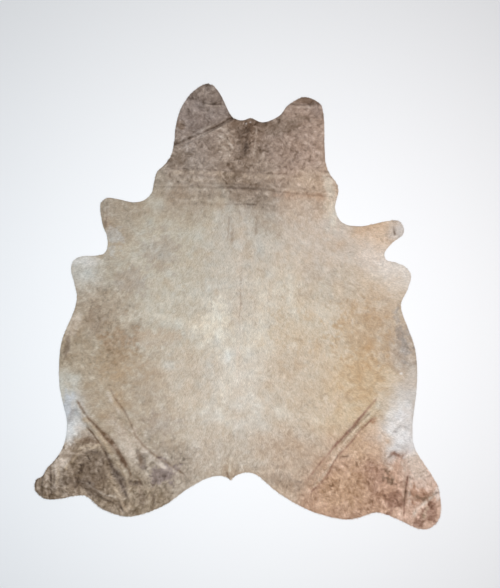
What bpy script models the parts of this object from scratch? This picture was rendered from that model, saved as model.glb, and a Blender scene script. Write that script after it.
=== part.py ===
"""Cowhide rug, lying flat with its hair side up.

The rug is one trimmed skin: ears and cheeks at the head, a short foreleg and a
rounded elbow flap on each side, the belly, two hind legs and the stub of the tail.
It is one sheet of even thickness. It lies on the floor except along the creases that
storage left in it and at a few soft swells, where the sheet rises off the floor.

Every place below is measured on the hide in centimetres: across from the line of the
spine, positive to the right, and forward from the tip of the tail. The model itself
is in metres, with +Y towards the head, +Z up and the origin on the floor under the
middle of the hide.
"""

import math
from collections import namedtuple

import bmesh
import bpy
from mathutils import Vector, kdtree
from mathutils.geometry import delaunay_2d_cdt, intersect_point_line

CM = 0.01
MM = 0.001

# Driving dimensions, in metres
HIDE_LENGTH = 2.224
LEATHER_THICKNESS = 2.0 * MM
LYING_HAIR = 1.5 * MM
SHEET_THICKNESS = LEATHER_THICKNESS + LYING_HAIR

# How finely the sheet is divided, in metres
RIM_STEP = 8.0 * MM
RIM_ERROR = 0.6 * MM
RIM_LONGEST = 50.0 * MM
CREASE_STEP = 22.0 * MM
SWELL_STEP = 40.0 * MM
FLAT_STEP = 75.0 * MM
CLEAR_OF_RIM = 7.0 * MM
CLEAR_OF_CREASES = 9.0 * MM

# Rows of vertices along a crease, as shares of its width on either side
CREASE_ROWS = (-1.0, -0.4, 0.0, 0.4, 1.0)

# The length over which a crease fades out at its ends, in metres
CREASE_FADE = 8.0 * CM
# A crease's width at its very ends, as a share of its full width
CREASE_END_WIDTH = 0.55

HAIR_COLOUR = (0.47, 0.38, 0.32, 1.0)
HAIR_ROUGHNESS = 0.72

Stretch = namedtuple("Stretch", "name points_cm")

# The outline, clockwise from the tip of the left ear: (across, forward)
OUTLINE = (
    Stretch("left ear", (
        (-16.5, 198.0), (-13.0, 196.6), (-10.2, 193.3), (-3.8, 181.2))),
    Stretch("poll", (
        (-1.0, 179.9), (2.0, 179.9), (5.2, 180.9), (11.2, 178.8), (19.5, 182.0))),
    Stretch("right ear", (
        (24.0, 187.2), (32.2, 191.3), (39.9, 187.8), (41.5, 183.0), (42.2, 165.0), (42.7, 158.5))),
    Stretch("right cheek", (
        (44.9, 152.5), (47.9, 148.8), (49.0, 145.0), (47.4, 135.5), (51.0, 128.7))),
    Stretch("right foreleg", (
        (59.5, 126.8), (73.5, 129.4), (78.8, 129.5), (81.5, 126.5), (81.4, 123.0))),
    Stretch("right armpit", (
        (75.5, 118.1), (72.0, 113.0), (73.2, 109.9))),
    Stretch("right elbow flap", (
        (78.0, 108.5), (82.2, 106.7), (85.2, 102.5), (83.8, 95.9), (80.3, 87.5))),
    Stretch("right belly", (
        (84.0, 75.5), (86.8, 67.5), (88.2, 58.0), (88.2, 46.5), (86.0, 26.0), (86.9, 16.8))),
    Stretch("right hock", (
        (96.2, 1.5), (99.0, -4.2), (99.9, -16.8))),
    Stretch("right hind foot", (
        (97.8, -21.5), (94.0, -24.1), (89.2, -24.1), (79.0, -19.5), (68.5, -16.0))),
    Stretch("right thigh", (
        (59.0, -18.6), (53.0, -19.5), (36.0, -15.5), (19.0, -6.1), (8.0, 2.8))),
    Stretch("tail", (
        (3.5, 3.9), (-0.8, 2.9), (-3.2, 1.6), (-4.8, 0.0), (-6.3, 1.3), (-10.0, 2.2), (-15.5, 1.4))),
    Stretch("left thigh", (
        (-26.0, -4.0), (-39.0, -13.0), (-56.0, -18.0), (-69.2, -14.0), (-77.0, -7.9), (-82.5, -7.8))),
    Stretch("left hind foot", (
        (-90.0, -9.2), (-96.5, -9.3), (-100.2, -7.5), (-102.5, -4.2), (-101.8, 0.0))),
    Stretch("left hock", (
        (-98.5, 2.1), (-96.2, 6.0), (-92.0, 10.5), (-88.2, 17.2), (-86.4, 28.0))),
    Stretch("left belly", (
        (-88.8, 40.0), (-90.2, 48.0), (-89.2, 68.5), (-82.5, 85.8), (-81.5, 92.0), (-82.8, 98.5))),
    Stretch("left elbow flap", (
        (-84.4, 105.5), (-83.2, 109.5), (-79.0, 111.8), (-72.5, 112.1))),
    Stretch("left armpit", (
        (-68.0, 113.2), (-66.2, 116.5), (-66.5, 122.0))),
    Stretch("left foreleg", (
        (-68.5, 127.5), (-69.8, 135.5), (-69.4, 138.5), (-66.5, 140.9), (-61.0, 140.4))),
    Stretch("left shoulder", (
        (-53.0, 138.8), (-47.5, 140.1), (-44.2, 143.5))),
    Stretch("left cheek", (
        (-42.8, 149.2), (-41.5, 154.0), (-37.5, 157.8), (-34.5, 162.2), (-32.8, 169.5))),
    Stretch("outer side of the left ear", (
        (-32.2, 176.0), (-29.8, 185.1), (-26.0, 191.2), (-22.0, 195.3))),
)


def ridge(off):
    """The rise of a sheet that stands up along the line, at a share of its width off it."""
    return 0.5 + 0.5 * math.cos(math.pi * off)


def valley(off):
    """The rise of a sheet that dips to the floor along the line and swells beside it."""
    return 6.75 * off * (1.0 - off) ** 2


# Walking along the route, left_cm and right_cm are the crease's widths on either hand.
# A route that runs on past the outline carries its crease out through the rim.
Crease = namedtuple("Crease", "name profile height_mm left_cm right_cm route_cm")

CREASES = (
    Crease("left haunch fold", ridge, 15.0, 2.8, 3.6, (
        (-82.5, 41.0), (-80.5, 36.0), (-75.0, 29.5), (-69.5, 22.5), (-65.0, 15.2),
        (-60.5, 9.0), (-57.0, 3.5), (-54.5, -1.5), (-52.5, -8.5))),
    Crease("left haunch inner fold", ridge, 6.0, 1.6, 4.0, (
        (-67.0, 49.0), (-61.5, 38.5), (-57.0, 32.0), (-52.5, 22.5), (-48.5, 15.0),
        (-43.0, 10.5), (-37.0, 8.5))),
    Crease("left hock upper fold", ridge, 7.0, 2.4, 3.0, (
        (-89.5, 19.0), (-91.6, 8.0), (-92.0, 0.0), (-91.8, -18.0))),
    Crease("left hock lower fold", ridge, 10.0, 2.2, 2.4, (
        (-94.0, 13.5), (-97.3, 5.0), (-97.8, -2.0), (-97.2, -18.0))),
    Crease("left thigh crease", valley, 5.0, 2.6, 2.6, (
        (-79.5, 0.5), (-72.0, -5.0), (-66.0, -8.5), (-60.5, -12.5), (-56.0, -26.0))),
    Crease("left thigh edge fold", ridge, 5.0, 1.8, 2.2, (
        (-44.8, 3.5), (-44.2, -6.0), (-44.4, -24.0))),
    Crease("right haunch fold", ridge, 12.0, 2.6, 2.6, (
        (73.0, 42.0), (66.5, 34.0), (61.0, 28.8), (56.8, 24.5), (52.0, 19.5),
        (48.0, 13.5), (44.0, 8.0), (39.0, 2.0), (32.0, -5.5))),
    Crease("right hock crease", valley, 8.0, 4.2, 3.0, (
        (84.9, 10.0), (84.2, 2.0), (83.2, -4.0), (82.4, -11.0), (82.6, -30.0))),
    Crease("right knee wrinkle", ridge, 6.0, 2.0, 2.4, (
        (70.5, 7.0), (72.5, 12.0), (77.0, 14.0), (81.5, 11.5), (86.0, 7.0))),
    Crease("right foot crease", valley, 6.0, 2.6, 2.6, (
        (83.5, -14.5), (89.0, -9.8), (93.5, -8.5), (96.0, -6.2), (105.0, 1.5))),
    Crease("left ear base crease", valley, 8.0, 3.4, 3.4, (
        (4.0, 186.0), (-3.5, 180.9), (-7.5, 178.6), (-12.0, 176.0), (-17.0, 173.5),
        (-22.0, 170.7), (-27.0, 168.2), (-33.0, 166.0))),
    Crease("left ear tip crease", valley, 5.0, 2.4, 2.4, (
        (-32.0, 196.5), (-24.8, 191.1), (-20.0, 189.2), (-14.0, 188.0), (1.0, 187.6))),
    Crease("right ear tip fold", ridge, 7.0, 2.0, 4.2, (
        (16.0, 187.6), (25.0, 187.6), (32.0, 187.4), (40.0, 187.8), (48.5, 188.8))),
    Crease("upper neck crease", valley, 3.5, 3.2, 3.2, (
        (-40.0, 155.2), (-30.0, 156.0), (-15.0, 155.6), (0.0, 154.6), (15.0, 153.8),
        (30.0, 153.0), (54.0, 151.2))),
    Crease("lower neck crease", valley, 5.0, 3.2, 3.2, (
        (-52.0, 147.2), (-34.0, 147.0), (-12.5, 146.5), (5.0, 145.8), (20.0, 144.5),
        (35.0, 143.0), (57.0, 140.6))),
    Crease("right foreleg crease", valley, 4.0, 2.4, 2.4, (
        (82.0, 137.5), (77.5, 127.5), (75.5, 123.0), (69.0, 117.5))),
    Crease("left foreleg crease", valley, 4.0, 2.4, 2.4, (
        (-67.0, 149.0), (-66.4, 137.5), (-66.8, 131.5), (-69.5, 121.0))),
)

Swell = namedtuple("Swell", "name across_cm forward_cm radius_cm height_mm")

# Broad, low places where the skin dried a little proud of the floor
SWELLS = (
    Swell("left belly", -83.0, 58.0, 15.0, 5.0),
    Swell("left elbow flap", -76.0, 104.0, 11.0, 6.0),
    Swell("left shoulder", -50.0, 128.0, 13.0, 4.0),
    Swell("left haunch", -74.0, 5.0, 11.0, 6.0),
    Swell("right belly", 82.0, 60.0, 15.0, 5.0),
    Swell("right elbow flap", 78.0, 99.0, 11.0, 6.0),
    Swell("right shoulder", 60.0, 119.0, 12.0, 4.0),
    Swell("right flank", 78.0, 26.0, 12.0, 5.0),
    Swell("right hind foot", 93.0, -15.0, 9.0, 6.0),
    Swell("right ear", 32.0, 176.0, 10.0, 4.0),
    Swell("poll", 5.0, 172.0, 9.0, 5.0),
)

# A crease on the floor plan: its smooth route, and how far along it each point lies
Line = namedtuple("Line", "crease points along")
# A swell on the floor plan
Mound = namedtuple("Mound", "centre radius height")


def catmull_rom(before, start, end, after, share):
    """A point on the centripetal Catmull-Rom arc from start to end."""
    times = [0.0]
    for a, b in ((before, start), (start, end), (end, after)):
        times.append(times[-1] + math.sqrt((b - a).length))
    t0, t1, t2, t3 = times
    t = t1 + (t2 - t1) * share
    left = before.lerp(start, (t - t0) / (t1 - t0))
    middle = start.lerp(end, share)
    right = end.lerp(after, (t - t2) / (t3 - t2))
    near_start = left.lerp(middle, (t - t0) / (t2 - t0))
    near_end = middle.lerp(right, (t - t1) / (t3 - t1))
    return near_start.lerp(near_end, share)


def smooth_runs(points, step, closed=False):
    """The smooth curve through the points, as one run of small steps for each gap."""
    if closed:
        guides = [points[-1], *points, *points[:2]]
    else:
        guides = [2 * points[0] - points[1], *points, 2 * points[-1] - points[-2]]
    runs = []
    for arc in zip(guides, guides[1:], guides[2:], guides[3:]):
        pieces = max(1, round((arc[2] - arc[1]).length / step))
        runs.append([catmull_rom(*arc, i / pieces) for i in range(pieces + 1)])
    return runs


def joined(runs):
    """One open line from runs that each start where the last one ended."""
    return [point for run in runs for point in run[:-1]] + [runs[-1][-1]]


def floor_plan():
    """A function that takes a place on the hide, in centimetres, to the floor plan.

    The hide comes out HIDE_LENGTH long, with its middle over the origin.
    """
    landmarks = [Vector(point) for stretch in OUTLINE for point in stretch.points_cm]
    edge = joined(smooth_runs(landmarks, RIM_STEP / CM, closed=True))
    low = Vector((min(p.x for p in edge), min(p.y for p in edge)))
    high = Vector((max(p.x for p in edge), max(p.y for p in edge)))
    middle = (low + high) / 2
    scale = HIDE_LENGTH / (high.y - low.y)
    return lambda place_cm: (Vector(place_cm) - middle) * scale


def crease_line(crease, on_plan):
    """The crease's smooth route on the floor plan."""
    points = joined(smooth_runs([on_plan(point) for point in crease.route_cm], CREASE_STEP))
    along = [0.0]
    for start, end in zip(points, points[1:]):
        along.append(along[-1] + (end - start).length)
    return Line(crease, points, along)


def nearest_on(line, place):
    """How far along the line the point nearest a place lies, and its distance, left positive."""
    nearest = (0.0, math.inf)
    for start, end, passed in zip(line.points, line.points[1:], line.along):
        step = end - start
        share = min(max((place - start).dot(step) / step.length_squared, 0.0), 1.0)
        offset = place - start - step * share
        if offset.length < abs(nearest[1]):
            side = math.copysign(1.0, step.cross(offset))
            nearest = (passed + share * step.length, side * offset.length)
    return nearest


def crease_rise(line, place):
    """How far a crease lifts the sheet off the floor at a place on the plan."""
    passed, off = nearest_on(line, place)
    fade = min(min(passed, line.along[-1] - passed) / CREASE_FADE, 1.0)
    eased = fade * fade * (3.0 - 2.0 * fade)
    full_width = (line.crease.left_cm if off > 0 else line.crease.right_cm) * CM
    width = full_width * (CREASE_END_WIDTH + (1.0 - CREASE_END_WIDTH) * eased)
    if abs(off) >= width:
        return 0.0
    return line.crease.height_mm * MM * eased * line.crease.profile(abs(off) / width)


def swell_rise(mound, place):
    """How far a swell lifts the sheet off the floor at a place on the plan."""
    share = (place - mound.centre).length / mound.radius
    return mound.height * (1.0 - share * share) ** 2 if share < 1.0 else 0.0


def rise(place, lines, mounds):
    """The height of the sheet's underside over the floor at a place on the plan."""
    creases = sum(crease_rise(line, place) for line in lines)
    swells = sum(swell_rise(mound, place) for mound in mounds)
    return creases + swells


def thinned(run):
    """The fewest points of a run that keep its shape within RIM_ERROR."""
    start, end = run[0], run[-1]
    if len(run) < 3:
        return run
    gaps = [(point - intersect_point_line(point, start, end)[0]).length for point in run]
    if max(gaps) > RIM_ERROR:
        middle = gaps.index(max(gaps))
    elif (end - start).length > RIM_LONGEST:
        middle = len(run) // 2
    else:
        return [start, end]
    return thinned(run[:middle + 1])[:-1] + thinned(run[middle:])


def rim_points(on_plan, lines, mounds):
    """The outline's points on the floor plan, closer where it bends or a crease crosses it."""
    landmarks = [on_plan(point) for stretch in OUTLINE for point in stretch.points_cm]
    rim = []
    for run in smooth_runs(landmarks, RIM_STEP, closed=True):
        lifted = [Vector((p.x, p.y, rise(p, lines, mounds))) for p in run]
        rim += [point.to_2d() for point in thinned(lifted)[:-1]]
    return rim


def crease_points(line):
    """Rows of points along a crease, at its middle and on its sides."""
    points = []
    for i, point in enumerate(line.points):
        ahead = line.points[min(i + 1, len(line.points) - 1)]
        behind = line.points[max(i - 1, 0)]
        to_left = (ahead - behind).normalized().orthogonal()
        for row in CREASE_ROWS:
            width = (line.crease.left_cm if row > 0 else line.crease.right_cm) * CM
            points.append(point + to_left * row * width)
    return points


def even_points(rim, step):
    """Points a step apart, in staggered rows, over all the ground that the rim spans."""
    low = Vector((min(p.x for p in rim), min(p.y for p in rim)))
    high = Vector((max(p.x for p in rim), max(p.y for p in rim)))
    row_gap = step * math.sin(math.radians(60))
    points = []
    for row in range(math.ceil((high.y - low.y) / row_gap)):
        shift = step / 2 * (row % 2)
        for column in range(math.ceil((high.x - low.x) / step)):
            points.append(low + Vector((column * step + shift, row * row_gap)))
    return points


def clear_of(taken, candidates, distance):
    """The candidates that lie at least a distance from every point already taken."""
    tree = kdtree.KDTree(len(taken))
    for index, point in enumerate(taken):
        tree.insert(point.to_3d(), index)
    tree.balance()
    return [point for point in candidates if tree.find(point.to_3d())[2] >= distance]


def plan_points(rim, lines, mounds):
    """Every point of the sheet's mesh on the floor plan, the rim's first."""
    points = list(rim)
    near_rim = joined([[start.lerp(end, i / 8) for i in range(9)]
                       for start, end in zip(rim, rim[1:] + rim[:1])])
    for line in lines:
        row_points = clear_of(near_rim, crease_points(line), CLEAR_OF_RIM)
        points += clear_of(points, row_points, CLEAR_OF_CREASES)
    on_swells = [point for point in even_points(rim, SWELL_STEP)
                 if any((point - mound.centre).length < mound.radius for mound in mounds)]
    for candidates, step in ((on_swells, SWELL_STEP), (even_points(rim, FLAT_STEP), FLAT_STEP)):
        inside = clear_of(near_rim, candidates, step / 3)
        points += clear_of(points, inside, step / 2)
    return points


def leather():
    """The hide's material, a plain lying coat of hair."""
    material = bpy.data.materials.new("hair_on_leather")
    material.use_nodes = True
    shader = material.node_tree.nodes["Principled BSDF"]
    shader.inputs["Base Color"].default_value = HAIR_COLOUR
    shader.inputs["Roughness"].default_value = HAIR_ROUGHNESS
    shader.inputs["Metallic"].default_value = 0.0
    return material


def hide():
    """The hide: its plan cut into triangles, lifted to its folds and given its thickness."""
    on_plan = floor_plan()
    lines = [crease_line(crease, on_plan) for crease in CREASES]
    mounds = [Mound(on_plan((s.across_cm, s.forward_cm)), s.radius_cm * CM, s.height_mm * MM)
              for s in SWELLS]
    rim = rim_points(on_plan, lines, mounds)
    plan = plan_points(rim, lines, mounds)
    inside_constraints = 1
    places, _, triangles, *_ = delaunay_2d_cdt(plan, [], [range(len(rim))], inside_constraints, 1e-6)

    sheet = bmesh.new()
    corners = [sheet.verts.new((p.x, p.y, rise(p, lines, mounds))) for p in places]
    for triangle in triangles:
        sheet.faces.new([corners[i] for i in triangle])
    loose = [corner for corner in corners if not corner.link_faces]
    bmesh.ops.delete(sheet, geom=loose, context="VERTS")
    grown = bmesh.ops.extrude_face_region(sheet, geom=sheet.faces[:])
    upper_side = [item for item in grown["geom"] if isinstance(item, bmesh.types.BMVert)]
    bmesh.ops.translate(sheet, verts=upper_side, vec=(0.0, 0.0, SHEET_THICKNESS))
    bmesh.ops.triangulate(sheet, faces=sheet.faces[:])
    bmesh.ops.recalc_face_normals(sheet, faces=sheet.faces[:])

    mesh = bpy.data.meshes.new("hide")
    sheet.to_mesh(mesh)
    sheet.free()
    mesh.materials.append(leather())
    bpy.context.scene.collection.objects.link(bpy.data.objects.new("hide", mesh))


def main():
    """Clears the scene and models the rug."""
    for old in list(bpy.data.objects):
        bpy.data.objects.remove(old)
    hide()


main()
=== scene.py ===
"""A whole cowhide rug with its hair on, lying flat and seen from straight above.

The rug is one trimmed skin. Here it gets its leather, with a hair side, a flesh side
and a cut edge, and on it a coat of short lying locks that Geometry Nodes lay root by
root, with a fringe of finer hair round the rim. Places on the hide are given in
centimetres: across from the spine, positive to the right, and forward from the tip of
the tail. The model is in metres, in the frame's own axes.
"""

import logging
import math
from collections.abc import Iterable, Sequence
from dataclasses import dataclass, field
from enum import Enum
from typing import NamedTuple

import bpy
import numpy as np
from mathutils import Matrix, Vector, kdtree
from mathutils.geometry import delaunay_2d_cdt


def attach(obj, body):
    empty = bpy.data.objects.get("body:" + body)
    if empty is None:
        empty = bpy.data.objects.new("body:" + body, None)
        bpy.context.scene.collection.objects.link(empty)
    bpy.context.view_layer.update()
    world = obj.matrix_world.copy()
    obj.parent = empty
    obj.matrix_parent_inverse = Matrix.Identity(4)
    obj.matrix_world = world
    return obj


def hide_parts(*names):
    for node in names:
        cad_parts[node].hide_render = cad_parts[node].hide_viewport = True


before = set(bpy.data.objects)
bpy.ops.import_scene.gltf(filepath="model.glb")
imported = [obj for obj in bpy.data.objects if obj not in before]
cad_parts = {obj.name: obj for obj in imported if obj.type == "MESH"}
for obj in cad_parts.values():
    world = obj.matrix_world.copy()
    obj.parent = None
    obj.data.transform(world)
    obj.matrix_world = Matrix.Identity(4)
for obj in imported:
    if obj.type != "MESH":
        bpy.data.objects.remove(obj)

LOG = logging.getLogger("cowhide")
CM = 0.01
MM = 0.001
TINY = 1e-9
Array = np.ndarray
Dice = np.random.Generator
Socket = bpy.types.NodeSocket
Pair = tuple[float, float]
Triple = tuple[float, float, float]
Places = tuple[Pair, ...]


class Stretch(NamedTuple):
    """One stretch of the hide's outline, by its landmarks."""

    name: str
    points_cm: Places


# The outline, clockwise from the tip of the left ear: (across, forward)
OUTLINE = (
    Stretch("left ear", (
        (-16.5, 198), (-13, 196.6), (-10.2, 193.3), (-3.8, 181.2))),
    Stretch("poll", (
        (-1, 179.9), (2, 179.9), (5.2, 180.9), (11.2, 178.8), (19.5, 182))),
    Stretch("right ear", (
        (24, 187.2), (32.2, 191.3), (39.9, 187.8), (41.5, 183), (42.2, 165), (42.7, 158.5))),
    Stretch("right cheek", (
        (44.9, 152.5), (47.9, 148.8), (49, 145), (47.4, 135.5), (51, 128.7))),
    Stretch("right foreleg", (
        (59.5, 126.8), (73.5, 129.4), (78.8, 129.5), (81.5, 126.5), (81.4, 123))),
    Stretch("right armpit", (
        (75.5, 118.1), (72, 113), (73.2, 109.9))),
    Stretch("right elbow flap", (
        (78, 108.5), (82.2, 106.7), (85.2, 102.5), (83.8, 95.9), (80.3, 87.5))),
    Stretch("right belly", (
        (84, 75.5), (86.8, 67.5), (88.2, 58), (88.2, 46.5), (86, 26), (86.9, 16.8))),
    Stretch("right hock", (
        (96.2, 1.5), (99, -4.2), (99.9, -16.8))),
    Stretch("right hind foot", (
        (97.8, -21.5), (94, -24.1), (89.2, -24.1), (79, -19.5), (68.5, -16))),
    Stretch("right thigh", (
        (59, -18.6), (53, -19.5), (36, -15.5), (19, -6.1), (8, 2.8))),
    Stretch("tail", (
        (3.5, 3.9), (-0.8, 2.9), (-3.2, 1.6), (-4.8, 0), (-6.3, 1.3), (-10, 2.2), (-15.5, 1.4))),
    Stretch("left thigh", (
        (-26, -4), (-39, -13), (-56, -18), (-69.2, -14), (-77, -7.9), (-82.5, -7.8))),
    Stretch("left hind foot", (
        (-90, -9.2), (-96.5, -9.3), (-100.2, -7.5), (-102.5, -4.2), (-101.8, 0))),
    Stretch("left hock", (
        (-98.5, 2.1), (-96.2, 6), (-92, 10.5), (-88.2, 17.2), (-86.4, 28))),
    Stretch("left belly", (
        (-88.8, 40), (-90.2, 48), (-89.2, 68.5), (-82.5, 85.8), (-81.5, 92), (-82.8, 98.5))),
    Stretch("left elbow flap", (
        (-84.4, 105.5), (-83.2, 109.5), (-79, 111.8), (-72.5, 112.1))),
    Stretch("left armpit", (
        (-68, 113.2), (-66.2, 116.5), (-66.5, 122))),
    Stretch("left foreleg", (
        (-68.5, 127.5), (-69.8, 135.5), (-69.4, 138.5), (-66.5, 140.9), (-61, 140.4))),
    Stretch("left shoulder", (
        (-53, 138.8), (-47.5, 140.1), (-44.2, 143.5))),
    Stretch("left cheek", (
        (-42.8, 149.2), (-41.5, 154), (-37.5, 157.8), (-34.5, 162.2), (-32.8, 169.5))),
    Stretch("outer side of the left ear", (
        (-32.2, 176), (-29.8, 185.1), (-26, 191.2), (-22, 195.3))),
)


class Profile(Enum):
    """How a crease stands across its line."""

    RIDGE = "ridge"
    VALLEY = "valley"

    def rise(self, off: Array) -> Array:
        """The sheet's rise at shares of the crease's width off its line."""
        if self is Profile.RIDGE:
            return 0.5 + 0.5 * np.cos(np.pi * off)
        return 6.75 * off * (1.0 - off) ** 2


class Crease(NamedTuple):
    """A main fold of the sheet; left_cm and right_cm are its widths on either hand."""

    name: str
    profile: Profile
    height_mm: float
    left_cm: float
    right_cm: float
    route_cm: Places


CREASES = (
    Crease("left haunch fold", Profile.RIDGE, 15, 2.8, 3.6, (
        (-82.5, 41), (-80.5, 36), (-75, 29.5), (-69.5, 22.5), (-65, 15.2), (-60.5, 9), (-57, 3.5),
        (-54.5, -1.5), (-52.5, -8.5))),
    Crease("left haunch inner fold", Profile.RIDGE, 6, 1.6, 4, (
        (-67, 49), (-61.5, 38.5), (-57, 32), (-52.5, 22.5), (-48.5, 15), (-43, 10.5), (-37, 8.5))),
    Crease("left hock upper fold", Profile.RIDGE, 7, 2.4, 3, (
        (-89.5, 19), (-91.6, 8), (-92, 0), (-91.8, -18))),
    Crease("left hock lower fold", Profile.RIDGE, 10, 2.2, 2.4, (
        (-94, 13.5), (-97.3, 5), (-97.8, -2), (-97.2, -18))),
    Crease("left thigh crease", Profile.VALLEY, 5, 2.6, 2.6, (
        (-79.5, 0.5), (-72, -5), (-66, -8.5), (-60.5, -12.5), (-56, -26))),
    Crease("left thigh edge fold", Profile.RIDGE, 5, 1.8, 2.2, (
        (-44.8, 3.5), (-44.2, -6), (-44.4, -24))),
    Crease("right haunch fold", Profile.RIDGE, 12, 2.6, 2.6, (
        (73, 42), (66.5, 34), (61, 28.8), (56.8, 24.5), (52, 19.5), (48, 13.5), (44, 8), (39, 2),
        (32, -5.5))),
    Crease("right hock crease", Profile.VALLEY, 8, 4.2, 3, (
        (84.9, 10), (84.2, 2), (83.2, -4), (82.4, -11), (82.6, -30))),
    Crease("right knee wrinkle", Profile.RIDGE, 6, 2, 2.4, (
        (70.5, 7), (72.5, 12), (77, 14), (81.5, 11.5), (86, 7))),
    Crease("right foot crease", Profile.VALLEY, 6, 2.6, 2.6, (
        (83.5, -14.5), (89, -9.8), (93.5, -8.5), (96, -6.2), (105, 1.5))),
    Crease("left ear base crease", Profile.VALLEY, 8, 3.4, 3.4, (
        (4, 186), (-3.5, 180.9), (-7.5, 178.6), (-12, 176), (-17, 173.5), (-22, 170.7),
        (-27, 168.2), (-33, 166))),
    Crease("left ear tip crease", Profile.VALLEY, 5, 2.4, 2.4, (
        (-32, 196.5), (-24.8, 191.1), (-20, 189.2), (-14, 188), (1, 187.6))),
    Crease("right ear tip fold", Profile.RIDGE, 7, 2, 4.2, (
        (16, 187.6), (25, 187.6), (32, 187.4), (40, 187.8), (48.5, 188.8))),
    Crease("upper neck crease", Profile.VALLEY, 3.5, 3.2, 3.2, (
        (-40, 155.2), (-30, 156), (-15, 155.6), (0, 154.6), (15, 153.8), (30, 153), (54, 151.2))),
    Crease("lower neck crease", Profile.VALLEY, 5, 3.2, 3.2, (
        (-52, 147.2), (-34, 147), (-12.5, 146.5), (5, 145.8), (20, 144.5), (35, 143), (57, 140.6))),
    Crease("right foreleg crease", Profile.VALLEY, 4, 2.4, 2.4, (
        (82, 137.5), (77.5, 127.5), (75.5, 123), (69, 117.5))),
    Crease("left foreleg crease", Profile.VALLEY, 4, 2.4, 2.4, (
        (-67, 149), (-66.4, 137.5), (-66.8, 131.5), (-69.5, 121))),
)


class Swell(NamedTuple):
    """A broad, low place where the skin dried a little proud of the floor."""

    name: str
    across_cm: float
    forward_cm: float
    radius_cm: float
    height_mm: float


SWELLS = (
    Swell("left belly", -83, 58, 15, 5),
    Swell("left elbow flap", -76, 104, 11, 6),
    Swell("left shoulder", -50, 128, 13, 4),
    Swell("left haunch", -74, 5, 11, 6),
    Swell("right belly", 82, 60, 15, 5),
    Swell("right elbow flap", 78, 99, 11, 6),
    Swell("right shoulder", 60, 119, 12, 4),
    Swell("right flank", 78, 26, 12, 5),
    Swell("right hind foot", 93, -15, 9, 6),
    Swell("right ear", 32, 176, 10, 4),
    Swell("poll", 5, 172, 9, 5),
)


class Zone(NamedTuple):
    """A broad zone of the coat: its colour (sRGB, 0 to 255) and how mottled it is."""

    name: str
    across_cm: float
    forward_cm: float
    radius_cm: float
    colour: tuple[int, int, int]
    mottle: float
    curl: float


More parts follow.
